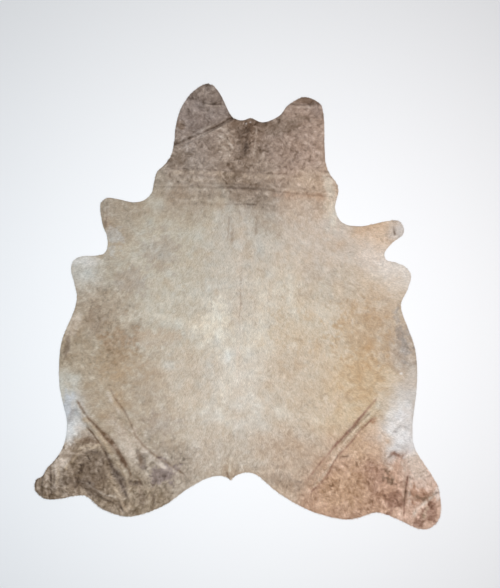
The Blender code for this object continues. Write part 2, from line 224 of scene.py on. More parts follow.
ZONES = (
    Zone("left ear tip", -17, 193, 5, (132, 116, 104), 3, 13.5),
    Zone("left ear", -17.5, 183, 6, (143, 128, 119), 3, 12),
    Zone("below the left ear", -22.5, 166.5, 6, (157, 143, 133), 3, 12),
    Zone("left cheek", -29, 159, 6, (142, 127, 114), 3, 13.5),
    Zone("poll", 3.5, 172, 5, (125, 103, 86), 3, 16.5),
    Zone("left of the poll", -9, 168, 6, (145, 126, 110), 3, 16.5),
    Zone("under the poll", 2, 160, 6, (141, 122, 106), 3, 15),
    Zone("right of the poll", 19, 172, 7, (148, 129, 115), 3, 15),
    Zone("right ear", 33, 180, 7, (168, 145, 129), 3, 10.5),
    # Painted shade: the right ear's tip is drawn darker where it curls up over its fold.
    Zone("right ear tip", 33, 190.5, 3.5, (124, 104, 92), 3, 9),
    Zone("right cheek", 33, 162, 9, (165, 142, 126), 3, 13.5),
    Zone("left neck", -25, 151, 5, (176, 162, 149), 3.5, 9),
    Zone("middle of the neck", 8.5, 150, 6, (134, 115, 99), 3.5, 12),
    Zone("right neck", 39, 147, 6, (195, 172, 150), 3.5, 9),
    Zone("nape", 5, 141.5, 5, (139, 122, 106), 3.5, 10.5),
    Zone("left of the nape", -30, 141, 7, (158, 142, 125), 3.5, 7.5),
    Zone("right of the nape", 32, 139, 6, (184, 164, 145), 3.5, 7.5),
    Zone("crest of the withers", 3, 132, 5, (177, 165, 150), 3.5, 4.5),
    Zone("withers", 2.5, 122, 11, (188, 179, 166), 3.5, 3.5),
    Zone("left shoulder", -35, 126, 12, (185, 176, 159), 3.5, 3),
    Zone("right shoulder", 42, 118, 12, (195, 180, 165), 3.5, 2.5),
    Zone("left foreleg", -60, 132, 7, (163, 148, 129), 4, 5),
    Zone("left elbow flap", -78, 105, 7, (190, 186, 177), 3.5, 4),
    Zone("behind the left elbow", -66, 108, 6, (176, 165, 147), 3.5, 4),
    Zone("right foreleg", 68, 125, 6, (206, 179, 152), 4, 5),
    Zone("tip of the right foreleg", 79.5, 126, 3, (192, 183, 176), 4, 6),
    Zone("right armpit", 69, 113, 6, (214, 202, 191), 3.5, 4),
    Zone("right elbow flap", 79.5, 101, 7, (213, 203, 192), 3.5, 4),
    Zone("left side", -70, 86, 10, (165, 149, 129), 4.5, 7),
    Zone("left belly", -77, 64, 9, (166, 151, 130), 4.5, 6.5),
    Zone("left of the back", -35, 90, 15, (187, 178, 162), 3.5, 2.5),
    Zone("back", -1, 92, 12, (193, 183, 169), 3.5, 3),
    Zone("right of the back", 35, 90, 15, (202, 190, 172), 3.5, 2.5),
    Zone("right side", 68, 84, 11, (190, 170, 147), 4, 3.5),
    Zone("left belly rim", -88, 50, 3.5, (196, 193, 183), 4, 4.5),
    Zone("left flank", -85.5, 34, 5, (198, 198, 197), 4, 5),
    Zone("left of the loin", -56, 42, 12, (173, 156, 134), 4, 4),
    Zone("left loin", -30, 45, 13, (192, 179, 162), 4, 3),
    Zone("loin", -1.5, 45, 11, (204, 196, 184), 4, 3.5),
    Zone("rump", -3, 15, 8, (188, 175, 159), 4, 4.5),
    Zone("right loin", 30, 45, 13, (194, 178, 158), 4, 3),
    Zone("right of the loin", 57, 44, 11, (200, 177, 146), 4, 3.5),
    Zone("right belly", 83, 68, 6, (176, 161, 146), 5, 6),
    Zone("right flank", 83, 40, 6, (198, 191, 184), 3.5, 4),
    Zone("right hip", 81, 23, 6, (204, 199, 196), 4, 5),
    Zone("left hock", -77, 6, 7, (138, 119, 99), 6, 14),
    Zone("left hind foot", -94, 2, 4.5, (160, 143, 125), 6, 16),
    Zone("tip of the left hind foot", -99.5, -3.5, 3.5, (129, 110, 91), 6, 16),
    Zone("left thigh", -60, -10, 6, (142, 124, 104), 6, 15),
    Zone("left thigh rim", -45, -10, 7, (152, 135, 114), 6, 12),
    Zone("inside of the left thigh", -34, 4, 8, (161, 147, 131), 5, 10),
    Zone("left buttock", -18, 5, 7, (184, 170, 153), 4.5, 5),
    Zone("left haunch", -55, 17, 8, (170, 156, 138), 5, 8),
    Zone("right hock", 89, 4, 5.5, (210, 185, 169), 5, 10),
    Zone("right hind foot", 91, -14, 6, (202, 170, 150), 5.5, 12),
    Zone("right thigh", 52, -7, 10, (186, 152, 127), 5, 12),
    Zone("right gaskin", 73, 0, 6, (179, 142, 118), 6, 12),
    Zone("right buttock", 25, 12, 9, (188, 168, 148), 4.5, 6),
    Zone("right haunch", 61, 18, 6, (197, 168, 143), 5, 7),
    Zone("tail", -4, 6, 4, (170, 151, 130), 5, 7),
)


class Tone(Enum):
    """What a stroke or blotch turns the coat towards (sRGB, 0 to 255)."""

    SHADE = (82, 66, 54)
    BROWN = (104, 80, 60)
    UMBER = (118, 100, 84)
    RUST = (148, 100, 70)
    CHESTNUT = (134, 98, 80)
    PLUM = (118, 102, 100)
    GREY = (146, 140, 136)
    SAND = (186, 166, 142)
    GOLD = (170, 136, 96)
    CREAM = (221, 213, 197)
    PALE = (208, 194, 180)
    BLUISH = (184, 188, 194)
    WHITE = (232, 231, 230)


class Stroke(NamedTuple):
    """A crease or parting in the hair: its tone, strength, width and small relief. Along a fold, a
    dark tone is painted shade and a light one painted highlight.
    """

    name: str
    tone: Tone
    strength: float
    width_cm: float
    lift_mm: float
    route_cm: Places


# Along creases, troughs and wrinkles the dark strokes are painted shade in the fold, together with
# the darker colour of the hair parted there, and the light strokes on the crests and ridges beside
# them are painted highlight. Strokes away from the folds, such as the cream wings, the streaks on
# the withers and the tail marks, are the coat's own colour.
STROKES = (
    Stroke("left ear tip crease", Tone.SHADE, 0.55, 0.4, -0.8, (
        (-26.5, 192.5), (-24.8, 191.3), (-20, 189.3), (-14, 188), (-6.5, 188))),
    Stroke("light under the left ear tip crease", Tone.PALE, 0.3, 0.4, 0.8, (
        (-20, 188.2), (-14, 187), (-7, 187))),
    Stroke("left ear base crease", Tone.SHADE, 0.8, 0.45, -1, (
        (-1.5, 181.8), (-4, 181), (-8, 178.8), (-12, 176.4), (-16.5, 174.6), (-21, 172.6),
        (-27, 169.7))),
    Stroke("end of the left ear base crease", Tone.SHADE, 0.42, 0.55, -0.5, (
        (-22, 172.2), (-27, 169.8), (-31, 168.3), (-35, 167.4))),
    Stroke("light beside the left ear base crease", Tone.PALE, 0.35, 0.5, 1, (
        (-24, 172.9), (-20, 174.5), (-16, 176.3), (-11, 178.8))),
    Stroke("light below the left ear base crease", Tone.PALE, 0.26, 0.45, 0.6, (
        (-24, 169.6), (-16, 173.2), (-11, 175.4), (-5, 178.8))),
    Stroke("right ear tip fold", Tone.SHADE, 0.62, 0.4, -0.8, (
        (23, 187), (25.5, 187.6), (30, 187.3), (36, 187.6), (41, 188))),
    Stroke("light under the right ear tip", Tone.PALE, 0.35, 0.45, 0.8, (
        (25, 186.3), (31, 186.1), (37, 186.4), (41.5, 186.8))),
    Stroke("upper neck crease", Tone.SHADE, 0.14, 0.8, -0.6, (
        (-38, 156), (-28, 156.3), (-17.5, 155.8), (5, 154.2), (18, 153.8))),
    Stroke("right end of the upper neck crease", Tone.BROWN, 0.18, 0.8, -0.6, (
        (12, 153.9), (22, 153.2), (31, 152.9), (40, 152.6), (47.5, 151.2))),
    Stroke("light under the upper neck crease", Tone.SAND, 0.3, 1.3, 0.4, (
        (-36, 153.6), (-18, 153.6), (0, 152), (20, 151.2), (40, 149.8))),
    Stroke("lower neck crease", Tone.SHADE, 0.3, 0.46, -0.9, (
        (-27.5, 147.4), (-18, 146.9), (-10, 146.5), (5, 146), (14, 145.2), (20, 144.6))),
    Stroke("dark heart of the lower neck crease", Tone.SHADE, 0.52, 0.5, -0.4, (
        (-9.5, 146.6), (-2, 146.2), (5, 146), (12.5, 145.4))),
    Stroke("right end of the lower neck crease", Tone.BROWN, 0.26, 0.46, -0.9, (
        (12, 145.4), (20, 144.5), (28, 143.6), (35, 143.2), (49, 141.6))),
    Stroke("twin of the lower neck crease", Tone.SHADE, 0.14, 0.5, -0.5, (
        (-34, 147.9), (-20, 148.2), (-5, 147.9), (9, 147.5))),
    Stroke("rusty band of the neck", Tone.RUST, 0.18, 1.6, 0, (
        (14, 142.8), (25, 142.2), (38, 141.6), (48, 139.8))),
    Stroke("light over the lower neck crease", Tone.SAND, 0.22, 0.8, 0.4, (
        (-30, 150), (-12, 149.6), (8, 149))),
    Stroke("nape crease", Tone.SHADE, 0.13, 0.55, -0.6, (
        (-35, 138.5), (-24, 138.2), (-13.5, 137.8), (0, 137.9), (10, 137.7), (19, 137))),
    Stroke("dark heart of the nape crease", Tone.SHADE, 0.4, 0.4, -0.4, (
        (-4, 137.8), (2.5, 137.9), (9.5, 137.6))),
    Stroke("left haunch crest", Tone.SAND, 0.76, 1.5, 0.8, (
        (-80, 34), (-76, 29.4), (-71.5, 23.5), (-68, 19.3), (-65, 14.6), (-62, 9.6), (-59.5, 5),
        (-57.5, 1), (-56, -3.5), (-54.5, -8))),
    Stroke("ridge left of the trough's foot", Tone.SAND, 0.44, 1.05, 0.6, (
        (-66, 5.5), (-65.5, 1), (-63.5, -3.5), (-61, -8), (-58.5, -12.5), (-56, -17))),
    Stroke("left haunch inner light", Tone.PALE, 0.4, 2.6, 0.4, (
        (-68, 33), (-61.5, 27), (-57, 20), (-54, 13), (-51, 6))),
    Stroke("left haunch trough", Tone.BROWN, 0.84, 0.52, -0.8, (
        (-82.2, 41), (-79.2, 36.2), (-75.6, 31.2), (-71.8, 27.2), (-68.6, 23.6), (-65.2, 19.6),
        (-62.6, 16), (-60, 12.4), (-57.6, 9.2), (-56, 6.4), (-55, 4), (-54.4, 0.6))),
    Stroke("wide part of the left haunch trough", Tone.BROWN, 0.92, 1.0, -0.5, (
        (-70, 25.6), (-67.9, 23.5), (-64.4, 19.8), (-61.4, 15.2), (-59.2, 11.4), (-57.2, 8.2),
        (-55.6, 4.8))),
    Stroke("left haunch outer trough", Tone.BROWN, 0.74, 0.5, -0.6, (
        (-78.4, 28.6), (-75, 25), (-72, 21), (-69, 16.8), (-66.6, 12.6), (-65, 8.6))),
    Stroke("foot of the left haunch trough", Tone.SHADE, 0.8, 0.85, -0.8, (
        (-68, 15.5), (-65.6, 10), (-63.6, 5.6), (-61.4, 2.2), (-59.6, -1), (-58, -4.4), (-56.8, -8),
        (-56.2, -10.4))),
    Stroke("wide part of the left trough's foot", Tone.SHADE, 0.9, 1.9, -0.4, (
        (-63, 6.2), (-60.8, 2.2), (-58.8, -1.6), (-56.8, -6.4))),
    Stroke("light left of the trough's foot", Tone.SAND, 0.66, 0.8, 0.4, (
        (-65.6, 5), (-64, 0), (-61.6, -5), (-59.4, -9), (-57.4, -13.5), (-55.8, -17))),
    Stroke("dark by the left thigh's light", Tone.SHADE, 0.6, 0.42, -0.3, (
        (-61.4, -8.4), (-60, -12), (-58.2, -16.4))),
    Stroke("dashes right of the trough's foot", Tone.SHADE, 0.92, 0.9, -0.4, (
        (-55.4, 0.6), (-53.6, -1.4), (-51, -1.6), (-48.2, -1.2))),
    Stroke("light down the left thigh", Tone.SAND, 0.62, 0.9, 0.4, (
        (-55.6, -2.4), (-54.2, -7), (-54.6, -12), (-56.4, -16.4))),
    Stroke("left foot crease", Tone.SHADE, 0.8, 0.45, -1, (
        (-94.8, 8.5), (-94.6, 3), (-94.4, -3), (-94.2, -9))),
    Stroke("twin of the left foot crease", Tone.SHADE, 0.42, 0.35, -0.6, (
        (-92.9, 8.5), (-92.8, 2), (-92.9, -4), (-92.8, -8.5))),
    Stroke("outer left foot crease", Tone.SHADE, 0.72, 0.45, -0.8, (
        (-98, 3), (-98.6, 0), (-99.1, -4), (-98.9, -7.5))),
    Stroke("left foot ridge", Tone.PALE, 0.42, 0.55, 0.8, (
        (-96.2, 6), (-96.6, 1), (-96.8, -4), (-96.5, -8.5))),
    Stroke("outer left foot ridge", Tone.PALE, 0.4, 0.5, 0.8, (
        (-100.6, 1), (-101.2, -2), (-101.4, -5.5))),
    Stroke("inner left foot ridge", Tone.SAND, 0.42, 0.55, 0.6, (
        (-91.2, 8), (-91, 2), (-91.2, -4), (-91, -8.5))),
    Stroke("wavy light over the left hock", Tone.SAND, 0.86, 0.8, 0.4, (
        (-82, 14.6), (-79, 16.2), (-77, 17.2), (-73.5, 16.4), (-71, 17.6), (-67.6, 16.8))),
    Stroke("lower light over the left hock", Tone.SAND, 0.7, 0.7, 0.4, (
        (-87.6, 2.5), (-86.4, 7), (-84, 9.6), (-81.6, 12), (-79.6, 15))),
    Stroke("left thigh ridge", Tone.PALE, 0.56, 0.42, 0.8, (
        (-81, -1), (-76.5, -1.5), (-74, -3.6), (-70.5, -5.4), (-67.5, -7.2), (-63, -8.4),
        (-60.5, -11))),
    Stroke("lower left thigh ridge", Tone.SAND, 0.42, 0.45, 0.6, (
        (-79, -3.2), (-77.4, -5.6), (-76.4, -8.4))),
    Stroke("left thigh trough", Tone.SHADE, 0.55, 0.5, -0.6, (
        (-71.5, -7), (-67, -9.6), (-62.5, -12), (-60, -14))),
    Stroke("upper shade in the left hock", Tone.SHADE, 0.52, 1.0, -0.3, (
        (-79, 12.6), (-75, 14), (-71, 13.6), (-67.5, 11.6))),
    Stroke("left inner haunch line", Tone.BROWN, 0.52, 0.44, -0.5, (
        (-66.5, 49.5), (-63.5, 42.8), (-60, 37.6), (-56.8, 33.4), (-54.6, 28.4), (-52, 22),
        (-49, 18), (-45.6, 14.6), (-41.8, 11.8), (-37.6, 9.6), (-32, 5.6), (-26, 1.4))),
    Stroke("lower left inner haunch line", Tone.BROWN, 0.46, 0.5, -0.3, (
        (-53, 24), (-50.6, 19.8), (-47.4, 16.2), (-43.6, 13), (-39, 10.4))),
    Stroke("end of the left inner haunch line", Tone.PLUM, 0.62, 0.55, -0.4, (
        (-42, 11.6), (-39.5, 11), (-36.5, 10.2))),
    Stroke("light by the left inner haunch line", Tone.PALE, 0.56, 1.1, 0.6, (
        (-53.5, 22.6), (-50, 18), (-46, 13), (-41, 8.4), (-35.5, 5.6), (-29, 2))),
    Stroke("light left of the left inner line", Tone.PALE, 0.44, 1.1, 0.6, (
        (-67, 47), (-64.5, 40.5), (-61, 35), (-57, 30.5))),
    Stroke("left thigh line", Tone.BROWN, 0.45, 0.9, -0.6, (
        (-50.5, 14.5), (-49.5, 10), (-48.4, 6))),
    Stroke("lower left thigh line", Tone.BROWN, 0.34, 0.6, -0.6, (
        (-53, 3.5), (-50.5, 0.5), (-50, -3), (-50, -9))),
    Stroke("light left thigh line", Tone.SAND, 0.6, 0.85, 0.8, (
        (-46.4, -3), (-45.6, -6), (-45.4, -12), (-45.6, -16))),
    Stroke("left thigh edge line", Tone.SHADE, 0.44, 0.62, -0.4, (
        (-43.4, -5), (-43.2, -9), (-43, -14.5))),
    Stroke("right haunch upper line", Tone.CHESTNUT, 0.58, 0.48, -0.4, (
        (69.5, 42), (64, 36), (59, 30), (55, 25.5), (51.5, 21.5), (48, 18), (45.5, 15), (42.5, 11),
        (39, 7), (35, 2), (31.5, -3))),
    Stroke("dark heart of the right upper line", Tone.CHESTNUT, 0.84, 0.62, -0.3, (
        (64.6, 36.4), (62, 33.4), (56.5, 27.2), (51.5, 21.6), (48, 18), (45.6, 15.2))),
    Stroke("right haunch crest", Tone.CREAM, 0.36, 1.3, 0.8, (
        (70.5, 40), (65.6, 34), (61, 29), (56.5, 24), (51.8, 18.2), (48, 12.8), (44.4, 7),
        (40.4, 1), (35.4, -4.6))),
    Stroke("dashes on the right haunch crest", Tone.BROWN, 0.46, 0.3, -0.4, (
        (66, 35), (62.2, 31.2), (57.5, 26.8), (52.5, 21), (49.4, 16.6))),
    Stroke("right haunch lower line", Tone.CHESTNUT, 0.66, 0.44, -0.5, (
        (67.6, 32), (63.4, 28), (59.4, 24), (56, 19.6), (52.6, 15.6), (49.2, 12.6), (47, 9),
        (45, 5), (42.6, 1), (39, -3), (34, -7))),
    Stroke("wrinkle off the right lower line", Tone.BROWN, 0.46, 0.42, -0.3, (
        (49, 12), (52, 11.6), (55.5, 12.2))),
    Stroke("spot beside the right haunch fold", Tone.RUST, 0.42, 1.1, 0, (
        (68, 32), (66.8, 29.8), (65.5, 28))),
    Stroke("right hock crease", Tone.CHESTNUT, 0.7, 0.48, -1, (
        (83.9, 3.5), (83.5, 0), (82.6, -6), (82, -12), (81.4, -18))),
    Stroke("wide part of the right hock crease", Tone.BROWN, 0.7, 0.8, -0.4, (
        (83.4, -1), (82.8, -5), (82.2, -9.5), (81.8, -14))),
    Stroke("right hock crest", Tone.PALE, 0.36, 0.8, 0.6, (
        (85.6, 4), (85.2, -1), (84.6, -7), (84, -13))),
    Stroke("right knee wrinkle", Tone.CHESTNUT, 0.72, 0.85, -0.4, (
        (73.6, 12.6), (77, 13.4), (80, 11.6), (83, 13), (85.6, 16.4))),
    Stroke("light over the right knee", Tone.WHITE, 0.46, 0.9, 0.2, (
        (80.6, 10), (83.6, 13.4), (86.4, 18))),
    Stroke("lower right knee wrinkle", Tone.BROWN, 0.42, 0.5, -0.6, (
        (71.5, 6.5), (73.3, 10.5), (76.5, 13))),
    Stroke("right knee light", Tone.PALE, 0.56, 1.0, 0.4, (
        (71, 13), (72.6, 9), (74.6, 6.6), (77.6, 5.4))),
    Stroke("right hock light", Tone.PALE, 0.5, 1.2, 0.4, (
        (80.5, 10), (82, 7), (82.6, 3.5))),
    Stroke("right foot crease", Tone.BROWN, 0.56, 1.1, -0.6, (
        (85.2, -11.2), (88, -8.4), (91, -9.6), (94, -8), (96.6, -5.4))),
    Stroke("light streak in the right foot", Tone.PALE, 0.6, 0.85, 0.5, (
        (85.6, -19.6), (88.6, -14.6), (92.5, -11), (96.4, -7.4), (98.6, -4))),
    Stroke("inner light streak in the right foot", Tone.SAND, 0.6, 0.7, 0.4, (
        (91.4, -20), (92.6, -15.5), (94.2, -12.6))),
    Stroke("wrinkle in the right hip patch", Tone.GREY, 0.46, 1.1, -0.2, (
        (76.4, 22.5), (78, 25.4), (81, 27), (84.5, 26))),
    Stroke("lower wrinkle in the right hip patch", Tone.GREY, 0.34, 0.6, -0.2, (
        (77, 17.5), (81, 15.8), (85.5, 17.5))),
    Stroke("poll parting", Tone.SHADE, 0.56, 1.2, -0.8, (
        (3.6, 177.5), (3.8, 173), (3.2, 167), (1.8, 160))),
    Stroke("dark left of the poll parting", Tone.SHADE, 0.4, 2.1, -0.3, (
        (0.6, 179), (0.2, 171), (-0.4, 160))),
    Stroke("upper light left of the poll", Tone.PALE, 0.56, 0.5, 0.6, (
        (-11, 176.4), (-7, 174.6), (-3.6, 171.8), (-1.5, 168.5))),
    Stroke("middle light left of the poll", Tone.PALE, 0.56, 0.5, 0.6, (
        (-12, 172.6), (-8, 171), (-5, 168), (-3, 164.4))),
    Stroke("lower light left of the poll", Tone.PALE, 0.5, 0.5, 0.6, (
        (-11, 168), (-7.6, 166), (-5.6, 163), (-4.6, 159))),
    Stroke("light right of the poll", Tone.PALE, 0.36, 0.45, 0.6, (
        (8.2, 178), (8, 172), (7.2, 166), (6.4, 160))),
    Stroke("cream wing of the left back", Tone.CREAM, 0.34, 2.4, 0, (
        (-62, 79.5), (-46, 82.5), (-30, 79.5), (-18, 77.5), (-9, 79))),
    Stroke("upper cream wing of the left back", Tone.CREAM, 0.22, 1.8, 0, (
        (-42, 88), (-28, 91), (-14, 89.5), (-5, 92))),
    Stroke("cream wing of the right back", Tone.CREAM, 0.24, 2.0, 0, (
        (8, 91), (22, 96), (38, 97), (52, 94))),
    Stroke("cream right of the spine", Tone.CREAM, 0.26, 2.4, 0, (
        (8.5, 104), (10.5, 92), (11, 80), (9.5, 68))),
    Stroke("left loin cream", Tone.CREAM, 0.2, 3.6, 0, (
        (-1, 58), (-8, 47), (-10, 36), (-4, 22))),
    Stroke("left rump cream", Tone.CREAM, 0.26, 2.6, 0, (
        (-34, 40), (-24, 36.5), (-14, 36))),
    Stroke("right rump cream", Tone.CREAM, 0.2, 2.2, 0, (
        (16, 36), (30, 32), (44, 27))),
    Stroke("spine", Tone.PALE, 0.2, 1.6, 0.5, (
        (1.5, 140), (1.2, 128), (0.5, 112), (-0.2, 95), (-0.8, 70), (-1.2, 45), (-2.5, 22))),
    Stroke("first streak on the withers", Tone.UMBER, 0.26, 0.45, -0.2, (
        (-5.5, 133.5), (-5.6, 127), (-6, 119))),
    Stroke("second streak on the withers", Tone.UMBER, 0.28, 0.6, -0.2, (
        (-3.4, 129), (-3.8, 123.5), (-4, 117.5))),
    Stroke("right streak on the withers", Tone.UMBER, 0.22, 0.55, -0.2, (
        (8.5, 134), (8, 128), (8, 122))),
    Stroke("spine seam", Tone.UMBER, 0.24, 0.32, -0.2, (
        (0.6, 108), (0.4, 98), (0, 86), (-0.6, 74))),
    Stroke("tail light", Tone.CREAM, 0.66, 0.62, 0.3, (
        (-4.6, 13), (-4.8, 9), (-5.2, 4.6), (-5.6, 1))),
    Stroke("tail dark", Tone.BROWN, 0.5, 0.6, -0.2, (
        (-6.8, 4.4), (-6.2, 2.4), (-5.4, 0.4))),
    Stroke("left foreleg line", Tone.SHADE, 0.34, 0.45, -0.6, (
        (-66.5, 140), (-66.5, 134), (-66.8, 129))),
    Stroke("right foreleg line", Tone.SHADE, 0.42, 0.5, -0.6, (
        (76.3, 127.5), (77, 124.5), (77.8, 122))),
)


class Blotch(NamedTuple):
    """A soft ragged patch of another tone, its long side turned from straight across."""

    name: str
    tone: Tone
    strength: float
    across_cm: float
    forward_cm: float
    long_cm: float
    short_cm: float
    turn_deg: float
    ragged: float = 1.0


BLOTCHES = (
    Blotch("right forehead dark", Tone.UMBER, 0.42, 21.5, 177.5, 10.5, 4.6, 8, 1.4),
    Blotch("right cheek light", Tone.PALE, 0.18, 13, 155, 8, 6, 0, 1.6),
    Blotch("light left of the poll", Tone.PALE, 0.24, -7.5, 167, 3.4, 9, 0, 1.4),
    Blotch("left cheek dark", Tone.UMBER, 0.44, -33, 163, 6, 9, 20, 1.6),
    Blotch("dark left of the nape", Tone.SHADE, 0.2, -15, 143.5, 6, 2.4, 0, 1.6),
    Blotch("shade left of the nape", Tone.UMBER, 0.16, -32, 143, 9, 3, 0, 1.6),
    Blotch("left side brown", Tone.BROWN, 0.24, -71.5, 79, 4.4, 8, 8, 1.8),
    Blotch("left side lower brown", Tone.BROWN, 0.2, -59.5, 68, 7, 10, -14, 1.8),
    Blotch("left side inner brown", Tone.RUST, 0.1, -42, 71, 16, 4, 4, 1.8),
    Blotch("left shoulder shade", Tone.PLUM, 0.15, -39, 115, 8, 9, 0, 1.6),
    Blotch("shade behind the left elbow", Tone.PLUM, 0.14, -54, 100, 8, 6, 0, 1.6),
    Blotch("right shoulder shade", Tone.UMBER, 0.14, 40, 98.5, 12, 9, 0, 1.6),
    Blotch("light behind the left foreleg", Tone.BLUISH, 0.34, -63, 120, 4, 6, 0, 1.4),
    Blotch("light rim of the left foreleg", Tone.PALE, 0.24, -66, 132, 2.6, 7, 0, 1.4),
    Blotch("upper light on the back", Tone.CREAM, 0.56, -12, 79.5, 7.5, 8.5, 0, 1.8),
    Blotch("middle back cream", Tone.CREAM, 0.3, -3, 71, 17, 9, 0, 1.8),
    Blotch("left haunch fold light", Tone.PALE, 0.3, -57, 20, 4.4, 8, 24, 1.6),
    Blotch("right back gold", Tone.GOLD, 0.17, 29, 75, 14, 8, 0, 1.8),
    Blotch("right side gold", Tone.GOLD, 0.31, 61, 73, 12, 12, 0, 1.6),
    Blotch("right side lower gold", Tone.GOLD, 0.27, 60.5, 51, 9.5, 11.5, 8, 1.6),
    Blotch("lower left side gold", Tone.GOLD, 0.2, -62, 61, 9, 13, 0, 1.8),
    Blotch("left loin shade", Tone.UMBER, 0.1, -47, 45, 7, 10, 0, 1.8),
    Blotch("right loin light", Tone.PALE, 0.24, 46, 39, 8, 3, 25, 1.8),
    Blotch("left rump light", Tone.PALE, 0.2, -18, 13, 8, 8, 0, 1.8),
    Blotch("left haunch light", Tone.PALE, 0.24, -51, 15, 3.4, 9, 24, 1.8),
    Blotch("light over the left hock", Tone.PALE, 0.5, -77, 22.8, 7, 2.8, -20, 1),
    Blotch("light rim of the left hock", Tone.PALE, 0.54, -88.6, 10.4, 3.4, 10, -24, 1.2),
    Blotch("right hock light patch", Tone.PALE, 0.56, 89, 8, 5, 7.5, 26, 1),
    Blotch("dark rim of the right buttock", Tone.UMBER, 0.26, 23, -0.5, 9, 4.5, -20, 1.6),
    Blotch("left hip patch", Tone.BLUISH, 0.6, -86, 37, 7.5, 2.6, 82),
    Blotch("lower left hip patch", Tone.WHITE, 0.4, -82.5, 24.5, 6.4, 3.4, 60),
    Blotch("shade in the left hip patch", Tone.GREY, 0.45, -83.5, 32, 3.4, 1.5, 60),
    Blotch("right hip patch", Tone.WHITE, 0.38, 80.5, 30, 12, 6.2, 94, 0.5),
    Blotch("light heart of the right hip patch", Tone.WHITE, 0.44, 78.8, 21.5, 7.4, 6.2, 20, 0.5),
    Blotch("dark left belly spot", Tone.SHADE, 0.44, -86.4, 66.5, 5.4, 1.6, 80),
    Blotch("left belly light", Tone.PALE, 0.46, -84, 77, 3.8, 7, -18, 1.2),
    Blotch("spots on the right belly", Tone.GREY, 0.5, 81, 72, 11, 2.2, 99, 1.8),
    Blotch("left hock dark", Tone.SHADE, 0.26, -73.5, 5, 8, 7, 10, 1.4),
    Blotch("dark inside of the left hock", Tone.SHADE, 0.3, -88, -1.5, 3.2, 4.8, -12, 1.6),
    Blotch("dark under the left hock", Tone.SHADE, 0.42, -76, -4, 8, 2.6, -24, 1.4),
    Blotch("brown over the left hock", Tone.BROWN, 0.48, -74, 19.6, 5, 1.5, 2, 1.4),
    Blotch("purple inside of the left thigh", Tone.PLUM, 0.6, -38, 3, 6.4, 4.6, 0, 1.6),
    Blotch("smudge inside of the left thigh", Tone.SHADE, 0.44, -49.2, 10, 1.9, 5, 20, 1.8),
    Blotch("left thigh lower smudge", Tone.UMBER, 0.46, -49.2, -9, 2, 3.6, 0, 1.8),
    Blotch("left haunch grey", Tone.PLUM, 0.12, -40, 28, 9, 6, 20, 1.5),
    Blotch("right gaskin brown", Tone.BROWN, 0.7, 74.2, 1, 2.8, 4.4, 8, 2),
    Blotch("lower brown of the right gaskin", Tone.CHESTNUT, 0.62, 76, -10, 4, 5, -8, 2),
    Blotch("right foot upper brown", Tone.RUST, 0.4, 89.5, -7.5, 5.5, 3.4, 20, 1.8),
    Blotch("warm right thigh", Tone.GOLD, 0.26, 53, -5, 14, 9, 14),
    Blotch("warm right haunch", Tone.GOLD, 0.16, 60, 14, 5, 9, -10),
    Blotch("right gaskin shade", Tone.CHESTNUT, 0.34, 67, 0, 6, 8, 0, 1.8),
    Blotch("right foot brown", Tone.CHESTNUT, 0.6, 95.6, -14.5, 2.8, 5.4, 12, 1.6),
    Blotch("right foot lower brown", Tone.CHESTNUT, 0.62, 89.8, -20.6, 3.6, 2.8, 20, 1.8),
    Blotch("light rim of the right foot", Tone.WHITE, 0.42, 98, -6.5, 1.4, 4, 10),
    Blotch("light top of the left elbow flap", Tone.WHITE, 0.35, -77.5, 109.5, 8, 2.5, 0),
    Blotch("light right elbow flap", Tone.WHITE, 0.12, 79, 104, 7, 6, 0),
    Blotch("white tip of the right foreleg", Tone.WHITE, 0.22, 79.6, 125, 2.2, 4.2, 0),
    Blotch("spot on the back", Tone.SHADE, 0.3, 0, 88, 0.7, 0.9, 0),
    Blotch("fleck in the right belly", Tone.WHITE, 0.7, 80.5, 54.5, 0.8, 0.8, 0),
    Blotch("left fleck on the poll", Tone.WHITE, 0.6, 2.5, 178, 0.7, 0.4, 0),
    Blotch("right fleck on the poll", Tone.WHITE, 0.6, 5, 178.3, 0.7, 0.4, 0),
    Blotch("light rim of the right neck", Tone.CREAM, 0.5, 44.5, 139, 3.2, 14, 0),
    Blotch("shade right of the withers", Tone.UMBER, 0.12, 17.5, 127, 7, 5, 0, 1.6),
    Blotch("dark top of the poll", Tone.SHADE, 0.12, -1, 176.5, 5, 2.8, 0, 1.6),
    # Painted shade on the right ear's tip, where it curls up over its fold.
    Blotch("right ear tip dark", Tone.BROWN, 0.45, 32.5, 189.6, 7, 1.9, 2, 0.5),
    Blotch("dark rim of the left ear", Tone.BROWN, 0.45, -29.6, 177.5, 2.6, 2.2, 0),
    Blotch("dark spot in the left armpit", Tone.SHADE, 0.42, -67.5, 127.5, 1.2, 1.8, 0),
)


class Lay(NamedTuple):
    """Which way the hair points at a place: 0 is tailwards, 90 towards the right."""

    name: str
    across_cm: float
    forward_cm: float
    turn_deg: float


